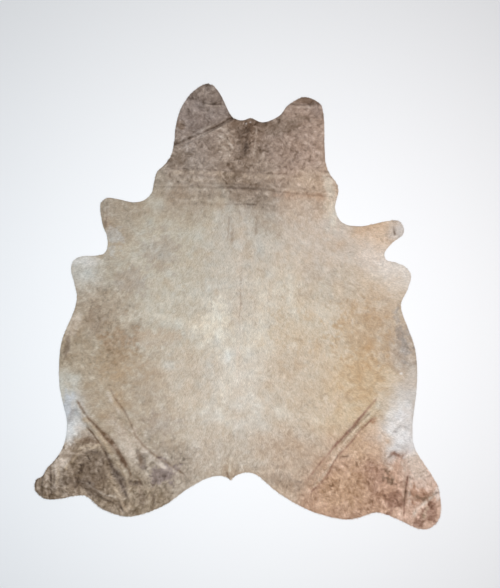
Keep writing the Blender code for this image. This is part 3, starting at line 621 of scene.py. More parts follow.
LAYS = (
    Lay("poll", 4, 176, 0),
    Lay("neck", 4, 150, 0),
    Lay("withers", 0, 120, 0),
    Lay("back", 0, 90, 0),
    Lay("loin", -1, 50, 0),
    Lay("tail", -4, 5, 0),
    Lay("left ear", -18, 186, -165),
    Lay("below the left ear", -20, 168, -60),
    Lay("right ear", 33, 183, 165),
    Lay("below the right ear", 30, 168, 60),
    Lay("left neck", -30, 150, -25),
    Lay("right neck", 38, 150, 25),
    Lay("left shoulder", -38, 125, -38),
    Lay("right shoulder", 42, 122, 38),
    Lay("left foreleg", -62, 130, -85),
    Lay("right foreleg", 70, 124, 85),
    Lay("left elbow flap", -76, 102, -70),
    Lay("right elbow flap", 77, 100, 70),
    Lay("left ribs", -40, 90, -32),
    Lay("right ribs", 42, 90, 32),
    Lay("left belly", -76, 68, -55),
    Lay("right belly", 76, 68, 55),
    Lay("left loin", -38, 50, -30),
    Lay("right loin", 38, 50, 30),
    Lay("left flank", -78, 34, -95),
    Lay("right flank", 78, 34, 95),
    Lay("left thigh", -48, 8, -38),
    Lay("right thigh", 48, 8, 38),
    Lay("left hock", -76, 3, -62),
    Lay("right hock", 80, -2, 55),
    Lay("left hind foot", -94, -2, -80),
    Lay("right hind foot", 92, -14, 40),
)


def eased(share: Array) -> Array:
    """A share of 0 to 1, made to start and end softly."""
    return share * share * (3.0 - 2.0 * share)


def turned(flow: Array, angle: Array) -> Array:
    """Directions on the floor, each turned by its own angle."""
    cos, sin = np.cos(angle), np.sin(angle)
    x, y = flow[:, 0], flow[:, 1]
    return np.column_stack([x * cos - y * sin, x * sin + y * cos])


def centripetal_arc(guides: Sequence[Array], shares: Array) -> Array:
    """Points on the centripetal Catmull-Rom arc between the two middle guides.

    Args:
        guides: Four points; the arc runs from the second to the third.
        shares: How far along the arc each wanted point lies, 0 to 1.

    Returns:
        One row of coordinates for each share.
    """
    before, start, end, after = guides
    times = [0.0]
    for a, b in zip(guides, guides[1:]):
        times.append(times[-1] + math.sqrt(float(np.linalg.norm(b - a))))
    t0, t1, t2, t3 = times
    s = shares[:, None]
    t = t1 + (t2 - t1) * s

    def mixed(p: Array, q: Array, low: float, high: float) -> Array:
        """The mix of p and q at the time t on the span low to high."""
        return p + (q - p) * ((t - low) / (high - low))

    left = mixed(before, start, t0, t1)
    middle = mixed(start, end, t1, t2)
    right = mixed(end, after, t2, t3)
    return mixed(mixed(left, middle, t0, t2), mixed(middle, right, t1, t3), t1, t2)


def smooth_line(points: Array, step: float, closed: bool = False) -> Array:
    """The smooth curve through the points, in steps of about one size.

    Args:
        points: The landmarks, in order.
        step: The wanted distance between neighbouring points of the curve.
        closed: Whether the curve returns to its start.

    Returns:
        The curve's points; a closed curve doesn't repeat its first.
    """
    if closed:
        guides = np.vstack([points[-1:], points, points[:2]])
    else:
        guides = np.vstack([2 * points[0] - points[1], points, 2 * points[-1] - points[-2]])
    runs = []
    for i in range(len(guides) - 3):
        gap = float(np.linalg.norm(guides[i + 2] - guides[i + 1]))
        pieces = max(1, round(gap / step))
        runs.append(centripetal_arc(guides[i:i + 4], np.arange(pieces) / pieces))
    if not closed:
        runs.append(points[-1:])
    return np.vstack(runs)


@dataclass
class Route:
    """A smooth line on the floor that a crease or a stroke follows."""

    points: Array
    longest_fade: float = 0.22
    along: Array = field(init=False)

    def __post_init__(self) -> None:
        """Measures how far along the line each of its points lies."""
        steps = np.linalg.norm(np.diff(self.points, axis=0), axis=1)
        self.along = np.concatenate([[0.0], np.cumsum(steps)])

    def near(self, places: Array, reach: float) -> tuple[Array, Array, Array]:
        """Finds the places near the line, and where on it they lie.

        Args:
            places: Rows of floor coordinates.
            reach: How far from the line a place may be.

        Returns:
            The places' indices, how far along the line each is, and its distance off
            it, positive on the left hand.
        """
        low, high = self.points.min(axis=0) - reach, self.points.max(axis=0) + reach
        picked = np.flatnonzero(((places > low) & (places < high)).all(axis=1))
        best = np.full(len(picked), np.inf)
        off = np.zeros(len(picked))
        passed = np.zeros(len(picked))
        for start, end, gone in zip(self.points, self.points[1:], self.along):
            step = end - start
            size = float(step @ step)
            away = places[picked] - start
            share = np.clip(away @ step / size, 0.0, 1.0)
            left = away - share[:, None] * step
            distance = np.hypot(left[:, 0], left[:, 1])
            closer = distance < best
            best[closer] = distance[closer]
            side = np.where(step[0] * left[:, 1] - step[1] * left[:, 0] < 0.0, -1.0, 1.0)
            off[closer] = (side * distance)[closer]
            passed[closer] = (gone + share * math.sqrt(size))[closer]
        within = best < reach
        return picked[within], passed[within], off[within]

    def fade(self, passed: Array, length: float) -> Array:
        """An eased rise from 0 at the line's ends to 1 a length in from them."""
        length = min(length, self.longest_fade * self.along[-1])
        return eased(np.clip(np.minimum(passed, self.along[-1] - passed) / length, 0.0, 1.0))


@dataclass
class HidePattern:
    """The hide's outline, and the way from its own centimetres to the floor."""

    length: float = 2.224
    rim_step: float = 6.0 * MM
    survey_step_cm: float = 0.8
    route_step: float = 8.0 * MM
    places_at_once: int = 20000
    middle: Array = field(init=False)
    scale: float = field(init=False)
    rim: Array = field(init=False)

    def __post_init__(self) -> None:
        """Finds the hide's middle and scale, and draws its rim."""
        landmarks = np.array([point for stretch in OUTLINE for point in stretch.points_cm])
        edge = smooth_line(landmarks, self.survey_step_cm, closed=True)
        low, high = edge.min(axis=0), edge.max(axis=0)
        self.middle = (low + high) / 2
        self.scale = self.length / (high[1] - low[1])
        self.rim = smooth_line(self.on_floor(landmarks), self.rim_step, closed=True)

    def on_floor(self, places_cm: Iterable[Sequence[float]]) -> Array:
        """Takes places on the hide, in centimetres, to the floor, in metres."""
        return (np.asarray(places_cm, dtype=float) - self.middle) * self.scale

    def route(self, places_cm: Iterable[Sequence[float]]) -> Route:
        """The smooth line on the floor through places on the hide."""
        return Route(smooth_line(self.on_floor(places_cm), self.route_step))

    def inside(self, places: Array) -> Array:
        """Tells which places on the floor lie within the rim.

        Args:
            places: Rows of floor coordinates.

        Returns:
            True for each place that the hide covers.
        """
        start, end = self.rim, np.roll(self.rim, -1, axis=0)
        found = np.zeros(len(places), dtype=bool)
        for low in range(0, len(places), self.places_at_once):
            some = slice(low, low + self.places_at_once)
            x, y = places[some, 0:1], places[some, 1:2]
            spans = (start[:, 1] > y) != (end[:, 1] > y)
            reach = np.where(end[:, 1] == start[:, 1], 1.0, end[:, 1] - start[:, 1])
            crossing = start[:, 0] + (y - start[:, 1]) / reach * (end[:, 0] - start[:, 0])
            found[some] = (spans & (x < crossing)).sum(axis=1) % 2 == 1
        return found

    def nearest_on_rim(self, places: Array) -> tuple[Array, Array]:
        """Finds the rim's point that is nearest each place.

        Args:
            places: Rows of floor coordinates.

        Returns:
            How far each place is from that point, and the point's number.
        """
        tree = kdtree.KDTree(len(self.rim))
        for number, (x, y) in enumerate(self.rim):
            tree.insert((x, y, 0.0), number)
        tree.balance()
        found = [tree.find((x, y, 0.0)) for x, y in places]
        return np.array([hit[2] for hit in found]), np.array([hit[1] for hit in found])

    def outward(self) -> Array:
        """The direction off the hide at each point of the rim."""
        along = np.roll(self.rim, -1, axis=0) - np.roll(self.rim, 1, axis=0)
        normal = np.column_stack([-along[:, 1], along[:, 0]])
        return normal / np.linalg.norm(normal, axis=1, keepdims=True)


@dataclass
class FloorGrid:
    """An even grid over the floor under the hide, for fields that are looked up."""

    low: Array
    high: Array
    step: float
    columns: int = field(init=False)
    rows: int = field(init=False)

    @classmethod
    def around(cls, rim: Array, margin: float = 3.0 * CM, step: float = 2.5 * MM) -> "FloorGrid":
        """The grid over a closed rim and a margin round it."""
        return cls(rim.min(axis=0) - margin, rim.max(axis=0) + margin, step)

    def __post_init__(self) -> None:
        """Counts the grid's columns and rows."""
        self.columns = int(math.ceil((self.high[0] - self.low[0]) / self.step)) + 1
        self.rows = int(math.ceil((self.high[1] - self.low[1]) / self.step)) + 1

    def places(self) -> Array:
        """The floor coordinates of the grid's points, row by row."""
        x = self.low[0] + np.arange(self.columns) * self.step
        y = self.low[1] + np.arange(self.rows) * self.step
        across, forward = np.meshgrid(x, y)
        return np.column_stack([across.ravel(), forward.ravel()])

    def nearest(self, places: Array) -> Array:
        """The number of the grid's point nearest each place."""
        column = ((places[:, 0] - self.low[0]) / self.step + 0.5).astype(int)
        row = ((places[:, 1] - self.low[1]) / self.step + 0.5).astype(int)
        return (np.clip(row, 0, self.rows - 1) * self.columns
                + np.clip(column, 0, self.columns - 1))

    def look_up(self, values: Array, places: Array) -> Array:
        """Values of a gridded field at any places, mixed from the four nearest.

        Args:
            values: The field, one row for each row of the grid.
            places: Rows of floor coordinates.

        Returns:
            One value for each place.
        """
        x = np.clip((places[:, 0] - self.low[0]) / self.step, 0.0, self.columns - 1.001)
        y = np.clip((places[:, 1] - self.low[1]) / self.step, 0.0, self.rows - 1.001)
        i, j = x.astype(int), y.astype(int)
        u, v = x - i, y - j
        near = values[j, i] * (1 - u) + values[j, i + 1] * u
        far = values[j + 1, i] * (1 - u) + values[j + 1, i + 1] * u
        return near * (1 - v) + far * v

    def soft_noise(self, cell: float, rng: Dice) -> Array:
        """Smooth random hills and hollows of about one size over the grid.

        Args:
            cell: The size of a hill, in metres.
            rng: The source of the random numbers.

        Returns:
            The field, with a mean of 0 and a spread of 1.
        """
        ratio = self.step / cell
        wide = int(self.columns * ratio) + 3
        deep = int(self.rows * ratio) + 3
        knots = rng.standard_normal((deep, wide))
        x, y = np.arange(self.columns) * ratio, np.arange(self.rows) * ratio
        i, j = x.astype(int), y.astype(int)
        u, v = eased(x - i), eased(y - j)[:, None]
        near = knots[np.ix_(j, i)] * (1 - u) + knots[np.ix_(j, i + 1)] * u
        far = knots[np.ix_(j + 1, i)] * (1 - u) + knots[np.ix_(j + 1, i + 1)] * u
        hills = near * (1 - v) + far * v
        return (hills - hills.mean()) / hills.std()

    def covered(self, rim: Array) -> Array:
        """Which points of the grid lie within a closed rim."""
        start, end = rim, np.roll(rim, -1, axis=0)
        mask = np.zeros((self.rows, self.columns), dtype=bool)
        for row in range(self.rows):
            y = self.low[1] + row * self.step
            spans = (start[:, 1] > y) != (end[:, 1] > y)
            a, b = start[spans], end[spans]
            share = (y - a[:, 1]) / (b[:, 1] - a[:, 1])
            crossings = np.sort(a[:, 0] + share * (b[:, 0] - a[:, 0]))
            columns = np.ceil((crossings - self.low[0]) / self.step).astype(int)
            for enter, leave in zip(columns[::2], columns[1::2]):
                mask[row, enter:leave] = True
        return mask

    def distance_off(self, mask: Array, reach: int) -> Array:
        """Roughly how far each point lies off a masked area, up to a number of steps."""
        distance = np.where(mask, 0.0, reach * self.step)
        grown = mask
        for number in range(1, reach):
            wider = grown.copy()
            wider[1:] |= grown[:-1]
            wider[:-1] |= grown[1:]
            if number % 2:
                wider[:, 1:] |= wider[:, :-1]
                wider[:, :-1] |= wider[:, 1:]
            else:
                wider[:, 1:] |= grown[:, :-1]
                wider[:, :-1] |= grown[:, 1:]
            distance[wider & ~grown] = number * self.step
            grown = wider
        return distance


@dataclass
class FoldField:
    """The height of the hide's underside over the floor."""

    pattern: HidePattern
    fade: float = 8.0 * CM
    end_width: float = 0.55

    def crease_rise(self, crease: Crease, places: Array, rise: Array) -> None:
        """Adds one crease's lift to the rise of the places near it."""
        line = self.pattern.route(crease.route_cm)
        reach = max(crease.left_cm, crease.right_cm) * CM
        picked, passed, off = line.near(places, reach)
        faded = line.fade(passed, self.fade)
        full = np.where(off > 0, crease.left_cm, crease.right_cm) * CM
        width = full * (self.end_width + (1.0 - self.end_width) * faded)
        share = np.minimum(np.abs(off) / width, 1.0)
        rise[picked] += crease.height_mm * MM * faded * crease.profile.rise(share) * (share < 1.0)

    def rise(self, places: Array) -> Array:
        """The height of the sheet's underside at places on the floor, in metres."""
        rise = np.zeros(len(places))
        for crease in CREASES:
            self.crease_rise(crease, places, rise)
        for swell in SWELLS:
            middle = self.pattern.on_floor((swell.across_cm, swell.forward_cm))
            share = np.linalg.norm(places - middle, axis=1) / (swell.radius_cm * CM)
            rise += swell.height_mm * MM * np.clip(1.0 - share * share, 0.0, 1.0) ** 2
        return rise


def to_linear(srgb: Array) -> Array:
    """Turns sRGB colours, 0 to 1, into linear ones."""
    srgb = np.clip(srgb, 0.0, 1.0)
    return np.where(srgb <= 0.04045, srgb / 12.92, ((srgb + 0.055) / 1.055) ** 2.4)


@dataclass
class HairLay:
    """Which way the hair lies, all over the hide."""

    pattern: HidePattern
    reach_cm: float = 15.0
    far_weight: float = 1e-6

    def direction(self, places: Array) -> Array:
        """The way the hair points at each place, as unit vectors on the floor."""
        total = np.zeros((len(places), 2))
        for lay in LAYS:
            middle = self.pattern.on_floor((lay.across_cm, lay.forward_cm))
            away = ((places - middle) ** 2).sum(axis=1)
            weight = np.exp(-away / (2.0 * (self.reach_cm * CM) ** 2)) + self.far_weight
            turn = math.radians(lay.turn_deg)
            total += weight[:, None] * np.array([math.sin(turn), -math.cos(turn)])
        return total / np.maximum(np.linalg.norm(total, axis=1, keepdims=True), TINY)

    def laid(self, places: Array, turn: Array, tilt: Array) -> tuple[Array, Array]:
        """How locks lie at the places.

        Args:
            places: Rows of floor coordinates.
            turn: How far each lock turns off the hair's own way.
            tilt: How far each lock stands up off the skin.

        Returns:
            Each lock's rotation, and the way it points on the floor.
        """
        ahead = turned(self.direction(places), turn)
        heading = np.arctan2(ahead[:, 1], ahead[:, 0]) - math.pi / 2
        return np.column_stack([tilt, np.zeros(len(places)), heading]), ahead


class Way(Enum):
    """Whether a comb runs along the hair or across it, as a turn off the hair's way."""

    ALONG = 0.0
    ACROSS = math.pi / 2


class Comb(NamedTuple):
    """A fine noise that is smeared into winding streaks."""

    name: str
    cell_mm: float
    way: Way
    swirl: float
    steps: int


COMBS = (
    Comb("streaks", 4.4, Way.ALONG, 0.7, 7),
    Comb("strands", 4.2, Way.ACROSS, 0.8, 2),
    Comb("curls", 3.6, Way.ACROSS, 0.8, 5),
    Comb("flames", 12.0, Way.ALONG, 0.6, 12),
)
MOTTLE_MIX = {"streaks": 0.60, "strands": 0.50, "patches": 0.30, "clouds": 0.50, "flames": 0.65}
CURL_MIX = {"curls": 0.95, "strands": 0.40, "flames": 0.25}
TINT_MIX = {"clouds": 1.5, "patches": 0.9, "flames": 0.7}


@dataclass
class HairNoise:
    """The random patterns that make the coat uneven, a value for each grid point."""

    grid: FloorGrid
    flow: Array
    seed: int
    wander_cell: float = 6.0 * CM
    ragged_cell: float = 1.1 * CM
    broad_ragged_cell: float = 2.6 * CM
    swirl_cell: float = 2.2 * CM
    tight_swirl_cell: float = 1.5 * CM
    cloud_cell: float = 5.0 * CM
    patch_cell: float = 1.8 * CM
    curl_skew: float = 0.18
    wander: Array = field(init=False)
    ragged: Array = field(init=False)
    patterns: dict[str, Array] = field(init=False)

    def __post_init__(self) -> None:
        """Draws every pattern, always in the same order."""
        rng = np.random.default_rng(self.seed)
        self.wander = np.column_stack([self.soft(self.wander_cell, rng) for _ in "xy"])
        self.ragged = self.soft(self.ragged_cell, rng) + self.soft(self.broad_ragged_cell, rng)
        swirls = {Way.ALONG: self.soft(self.swirl_cell, rng),
                  Way.ACROSS: self.soft(self.tight_swirl_cell, rng)}
        self.patterns = {}
        for comb in COMBS:
            fine = self.grid.soft_noise(comb.cell_mm * MM, rng)
            turn = comb.way.value + comb.swirl * swirls[comb.way]
            self.patterns[comb.name] = self.combed(fine, turned(self.flow, turn), comb.steps)
        self.patterns["curls"] -= self.curl_skew * (self.patterns["curls"] ** 2 - 1.0)
        self.patterns["clouds"] = self.soft(self.cloud_cell, rng)
        self.patterns["patches"] = self.soft(self.patch_cell, rng)

    def soft(self, cell: float, rng: Dice) -> Array:
        """Smooth random hills and hollows of about one size, point by point."""
        return self.grid.soft_noise(cell, rng).ravel()

    def combed(self, noise: Array, flow: Array, steps: int) -> Array:
        """Smears a noise along the hair, so that it runs in streaks.

        Args:
            noise: The field to smear.
            flow: The hair's direction at each point of the grid.
            steps: How many steps of the grid to smear it over, each way.

        Returns:
            The streaked values, point by point, with a mean of 0 and a spread of 1.
        """
        total = noise.ravel().copy()
        for way in (-1.0, 1.0):
            place = self.grid.places()
            for _ in range(steps):
                place += way * self.grid.step * flow[self.grid.nearest(place)]
                total += self.grid.look_up(noise, place)
        return (total - total.mean()) / total.std()

    def mixed(self, mix: dict[str, float]) -> Array:
        """The patterns, mixed by their shares."""
        return sum(share * self.patterns[name] for name, share in mix.items())


@dataclass
class CoatPainter:
    """The coat's colours: broad zones, blotches, strokes and combed grain, with painted shade and
    highlight along the creases and painted shade at the rim.
    """

    pattern: HidePattern
    hair_lay: HairLay
    grid: FloorGrid
    wander: float = 1.4 * CM
    blotch_wander: float = 0.4
    stroke_wander: float = 0.06
    blotch_reach: float = 1.8
    blotch_ragged: float = 0.14
    blotch_core: float = 0.65
    blotch_end: float = 1.35
    stroke_reach: float = 2.6
    stroke_fade: float = 3.5 * CM
    stroke_ragged: float = 0.20
    press_gap: float = 2.4 * CM
    strongest: float = 0.92
    curl_patchiness: float = 0.30
    tint: Triple = (-0.9, 0.0, 0.8)
    rim_shade: float = 0.04
    rim_shade_width: float = 9.0 * MM
    rim_shade_steps: int = 5
    darkest: float = 20.0
    lightest: float = 250.0
    exposure: float = 0.93
    seed: int = 11
    noise: HairNoise = field(init=False)
    layers: list[Array] = field(init=False)

    def __post_init__(self) -> None:
        """Paints the whole coat on the grid, one layer for each of red, green and blue."""
        spots = self.grid.places()
        self.noise = HairNoise(self.grid, self.hair_lay.direction(spots), self.seed)
        shift = self.wander * self.noise.wander
        colour, mottle, curl = self.zones(spots + shift)
        self.blotched(spots + self.blotch_wander * shift, colour)
        self.stroked(spots + self.stroke_wander * shift, colour)
        colour = colour * (1.0 - self.rim_shading())[:, None] + self.grain(mottle, curl)
        shown = np.clip(colour, self.darkest, self.lightest) / 255.0
        shape = (self.grid.rows, self.grid.columns)
        self.layers = [layer.reshape(shape) for layer in (to_linear(shown) * self.exposure).T]

    def rim_shading(self) -> Array:
        """How much each point of the grid darkens towards the rim."""
        off_hide = ~self.grid.covered(self.pattern.rim)
        inside = self.grid.distance_off(off_hide, self.rim_shade_steps).ravel()
        return self.rim_shade * np.clip(1.0 - inside / self.rim_shade_width, 0.0, 1.0)

    def grain(self, mottle: Array, curl: Array) -> Array:
        """The combed grain, the curls and the drift between warm and cool.

        Args:
            mottle: How mottled the coat is at each point of the grid.
            curl: How curly it is there.

        Returns:
            What each point's red, green and blue gain (sRGB, 0 to 255).
        """
        patchy = self.curl_patchiness * self.noise.patterns["patches"]
        curly = self.noise.mixed(CURL_MIX) * np.clip(1.0 + patchy, 0.4, 1.7)
        light = mottle * self.noise.mixed(MOTTLE_MIX) + curl * curly
        tint = self.noise.mixed(TINT_MIX) * np.clip(1.2 - curl / 12.0, 0.3, 1.0)
        return light[:, None] + tint[:, None] * np.array(self.tint)

    def zones(self, places: Array) -> tuple[Array, Array, Array]:
        """The broad colour (sRGB, 0 to 255), mottle and curl at each place."""
        weights = np.zeros(len(places))
        colour = np.zeros((len(places), 3))
        mottle = np.zeros(len(places))
        curl = np.zeros(len(places))
        for zone in ZONES:
            middle = self.pattern.on_floor((zone.across_cm, zone.forward_cm))
            away = ((places - middle) ** 2).sum(axis=1) / (zone.radius_cm * CM) ** 2
            weight = np.exp(-away / 2.0) + 1e-3 / (1.0 + away) ** 2
            weights += weight
            colour += weight[:, None] * np.array(zone.colour)
            mottle += weight * zone.mottle
            curl += weight * zone.curl
        return colour / weights[:, None], mottle / weights, curl / weights

    def blotched(self, places: Array, colour: Array) -> None:
        """Mixes the blotches, with ragged edges, into the colours of the places."""
        ragged = self.blotch_ragged * self.noise.ragged
        for blotch in BLOTCHES:
            middle = self.pattern.on_floor((blotch.across_cm, blotch.forward_cm))
            reach = self.blotch_reach * max(blotch.long_cm, blotch.short_cm) * CM
            near = np.flatnonzero((np.abs(places - middle) < reach).all(axis=1))
            turn = math.radians(blotch.turn_deg)
            x, y = (places[near] - middle).T
            along = (x * math.cos(turn) + y * math.sin(turn)) / (blotch.long_cm * CM)
            aside = (y * math.cos(turn) - x * math.sin(turn)) / (blotch.short_cm * CM)
            off = np.sqrt(along ** 2 + aside ** 2) + blotch.ragged * ragged[near]
            share = (self.blotch_end - off) / (self.blotch_end - self.blotch_core)
            share = blotch.strength * eased(np.clip(share, 0.0, 1.0))
            colour[near] += share[:, None] * (np.array(blotch.tone.value) - colour[near])

    def stroked(self, places: Array, colour: Array) -> None:
        """Mixes the strokes into the colours of the places, uneven along their length; along the
        folds they paint shade in the troughs and highlight on the crests.
        """
        uneven = np.clip(1.0 + self.stroke_ragged * self.noise.ragged, 0.25, 1.5)
        rng = np.random.default_rng(self.seed + 1)
        for stroke in STROKES:
            line = self.pattern.route(stroke.route_cm)
            widest = stroke.width_cm * CM
            picked, passed, off = line.near(places, self.stroke_reach * widest)
            knots = rng.uniform(0.0, 1.0, int(line.along[-1] / self.press_gap) + 4)
            pressed = np.interp(passed / self.press_gap, np.arange(len(knots)), knots)
            width = widest * (0.80 + 0.40 * pressed)
            share = stroke.strength * np.exp(-(off / width) ** 2)
            share *= line.fade(passed, self.stroke_fade)
            share *= uneven[picked] * (0.70 + 0.50 * pressed)
            share = np.clip(share, 0.0, self.strongest)[:, None]
            colour[picked] += share * (np.array(stroke.tone.value) - colour[picked])

    def colour(self, places: Array) -> Array:
        """The coat's linear red, green and blue at each place on the floor."""
        return np.column_stack([self.grid.look_up(layer, places) for layer in self.layers])


class Nodes:
    """A small hand for wiring a node tree."""

    def __init__(self, tree: bpy.types.NodeTree) -> None:
        """Takes the tree that the nodes go into."""
        self.tree = tree

    def fill(self, node: bpy.types.Node, inputs: dict) -> None:
        """Gives a node's inputs values, or wires them to other nodes' outputs."""
        for key, value in inputs.items():
            if isinstance(value, Socket):
                self.tree.links.new(value, node.inputs[key])
            else:
                node.inputs[key].default_value = value

    def add(self, kind: str, inputs: dict | None = None, **settings: object) -> bpy.types.Node:
        """Adds a node, sets its options, and fills or wires its inputs.

        Args:
            kind: The node's type.
            inputs: Values or output sockets, by the input's name or number.
            settings: The node's own options.

        Returns:
            The new node.
        """
        node = self.tree.nodes.new(kind)
        for name, value in settings.items():
            setattr(node, name, value)
        self.fill(node, inputs or {})
        return node

    def maths(self, operation: str, *values: object) -> Socket:
        """A Math node on the values, by its operation; returns its result."""
        node = self.add("ShaderNodeMath", dict(enumerate(values)), operation=operation)
        return node.outputs[0]

    def noise(self, place: Socket, **inputs: float) -> Socket:
        """A Noise Texture at a place, with its inputs by name; returns its value."""
        return self.add("ShaderNodeTexNoise", {"Vector": place, **inputs}).outputs[0]

    def spread(self, value: Socket, span: Pair, new_span: Pair) -> Socket:
        """A Map Range node that takes one span to another; returns its result."""
        return self.add("ShaderNodeMapRange", {
            "Value": value, "From Min": span[0], "From Max": span[1],
            "To Min": new_span[0], "To Max": new_span[1]}).outputs[0]

    def shaded(self, colour: bpy.types.Node, shade: Socket) -> Socket:
        """An attribute's colour, made lighter or darker by a shade."""
        return self.add("ShaderNodeVectorMath", {
            0: colour.outputs["Color"], "Scale": shade}, operation="SCALE").outputs[0]

    def bump(self, height: Socket, strength: float, depth: float) -> Socket:
        """A Bump node over a height; returns its normal."""
        return self.add("ShaderNodeBump", {
            "Height": height, "Strength": strength, "Distance": depth}).outputs[0]

    def ramp(self, value: Socket, *stops: tuple[float, Triple]) -> Socket:
        """A Color Ramp with two stops, each a position and a colour; returns its colour."""
        ramp = self.add("ShaderNodeValToRGB", {"Fac": value})
        for element, (position, colour) in zip(ramp.color_ramp.elements, stops):
            element.position = position
            element.color = (*colour, 1.0)
        return ramp.outputs[0]


def fresh_material(name: str) -> tuple[bpy.types.Material, Nodes, bpy.types.Node]:
    """A new material with its wiring hand and its Principled shader."""
    material = bpy.data.materials.new(name)
    material.use_nodes = True
    return material, Nodes(material.node_tree), material.node_tree.nodes["Principled BSDF"]


NOISE_SPAN = (0.3, 0.7)


@dataclass(frozen=True)
class HairFinish:
    """The hair: the coat's colour in fine strands, with painted shade darkening the roots where the
    locks overlap and the tips a little lighter, softly shiny.
    """

    roughness: float = 0.62
    specular: float = 0.22
    sheen: float = 0.06
    root_shade_to_tip: Pair = (0.74, 1.08)
    shaded_span: Pair = (0.0, 0.7)
    strand_spread: float = 0.16
    strands_across: float = 7.0
    strands_along: float = 0.8

    def material(self) -> bpy.types.Material:
        """Builds the material."""
        material, nodes, shader = fresh_material("short_hair")
        colour, along, across, lock = (
            nodes.add("ShaderNodeAttribute", attribute_name=name)
            for name in ("coat_colour", "along", "across", "lock_number"))
        where = nodes.add("ShaderNodeCombineXYZ", {
            0: nodes.maths("MULTIPLY", across.outputs["Fac"], self.strands_across),
            1: nodes.maths("MULTIPLY", along.outputs["Fac"], self.strands_along),
            2: lock.outputs["Fac"]})
        strands = nodes.noise(where.outputs[0], Scale=1.0, Detail=2.0, Roughness=0.6)
        # Painted shade: each lock's colour darkens towards its root, under the locks above it, and
        # lightens a little at its tip.
        depth = nodes.spread(along.outputs["Fac"], self.shaded_span, self.root_shade_to_tip)
        streak = nodes.spread(
            strands, NOISE_SPAN, (1.0 - self.strand_spread, 1.0 + self.strand_spread))
        nodes.fill(shader, {
            "Base Color": nodes.shaded(colour, nodes.maths("MULTIPLY", depth, streak)),
            "Normal": nodes.bump(strands, 0.35, 0.4 * MM), "Roughness": self.roughness,
            "Specular IOR Level": self.specular, "Sheen Weight": self.sheen})
        return material


@dataclass(frozen=True)
class HairSideFinish:
    """The leather's hair side, seen between the locks: the coat's colour, darkened as painted shade
    under the hair.
    """

    # Painted shade: how much darker than the coat the hair side is drawn, under the locks.
    depth: float = 0.86
    depth_spread: float = 0.12
    pore_scale: float = 420.0
    roughness: float = 0.80

    def material(self) -> bpy.types.Material:
        """Builds the material."""
        material, nodes, shader = fresh_material("hair_side")
        colour = nodes.add("ShaderNodeAttribute", attribute_name="coat_colour")
        place = nodes.add("ShaderNodeTexCoord").outputs["Object"]
        pores = nodes.noise(place, Scale=self.pore_scale, Detail=3.0)
        shade = nodes.spread(
            pores, NOISE_SPAN, (self.depth - self.depth_spread, self.depth + self.depth_spread))
        nodes.fill(shader, {
            "Base Color": nodes.shaded(colour, shade), "Roughness": self.roughness,
            "Normal": nodes.bump(pores, 0.4, 0.5 * MM)})
        return material


@dataclass(frozen=True)
class SuedeFinish:
    """The flesh side: pale split leather with a short nap, stained and scuffed."""

    pale: Triple = (0.66, 0.60, 0.52)
    stained: Triple = (0.49, 0.42, 0.34)
    stain_scale: float = 3.2
    nap_scale: float = 260.0
    vein_scale: float = 24.0
    vein_width: float = 0.06
    vein_depth: float = 0.12
    roughness: float = 0.92
    sheen: float = 0.25

    def material(self) -> bpy.types.Material:
        """Builds the material."""
        material, nodes, shader = fresh_material("flesh_side_suede")
        place = nodes.add("ShaderNodeTexCoord").outputs["Object"]
        stain = nodes.noise(
            place, Scale=self.stain_scale, Detail=6.0, Roughness=0.62, Distortion=0.6)
        nap = nodes.noise(place, Scale=self.nap_scale, Detail=4.0, Roughness=0.7)
        veins = nodes.add("ShaderNodeTexVoronoi", {
            "Vector": place, "Scale": self.vein_scale}, feature="DISTANCE_TO_EDGE")
        vein_line = nodes.spread(
            veins.outputs["Distance"], (0.0, self.vein_width), (self.vein_depth, 0.0))
        cloudy = nodes.maths("ADD", nodes.maths("MULTIPLY", stain, 1.2),
                             nodes.maths("MULTIPLY", nap, 0.35))
        colour = nodes.ramp(
            nodes.maths("ADD", cloudy, vein_line), (0.45, self.pale), (1.0, self.stained))
        nodes.fill(shader, {
            "Base Color": colour, "Normal": nodes.bump(nap, 0.5, 0.6 * MM),
            "Roughness": self.roughness, "Sheen Weight": self.sheen})
        return material


@dataclass(frozen=True)
class CutEdgeFinish:
    """The cut edge of the leather: a pale fibrous core under a darker grain."""

    core: Triple = (0.58, 0.50, 0.41)
    grain: Triple = (0.36, 0.28, 0.21)
    fibre_scale: float = 900.0
    patch_scale: float = 60.0
    roughness: float = 0.88

    def material(self) -> bpy.types.Material:
        """Builds the material."""
        material, nodes, shader = fresh_material("cut_edge")
        place = nodes.add("ShaderNodeTexCoord").outputs["Object"]
        fibres = nodes.noise(place, Scale=self.fibre_scale, Detail=3.0, Roughness=0.7)
        patches = nodes.noise(place, Scale=self.patch_scale, Detail=2.0)
        mixed = nodes.maths("MULTIPLY", nodes.maths("ADD", fibres, patches), 0.5)
        nodes.fill(shader, {
            "Base Color": nodes.ramp(mixed, (0.35, self.grain), (0.6, self.core)),
            "Normal": nodes.bump(fibres, 0.5, 0.3 * MM), "Roughness": self.roughness})
        return material


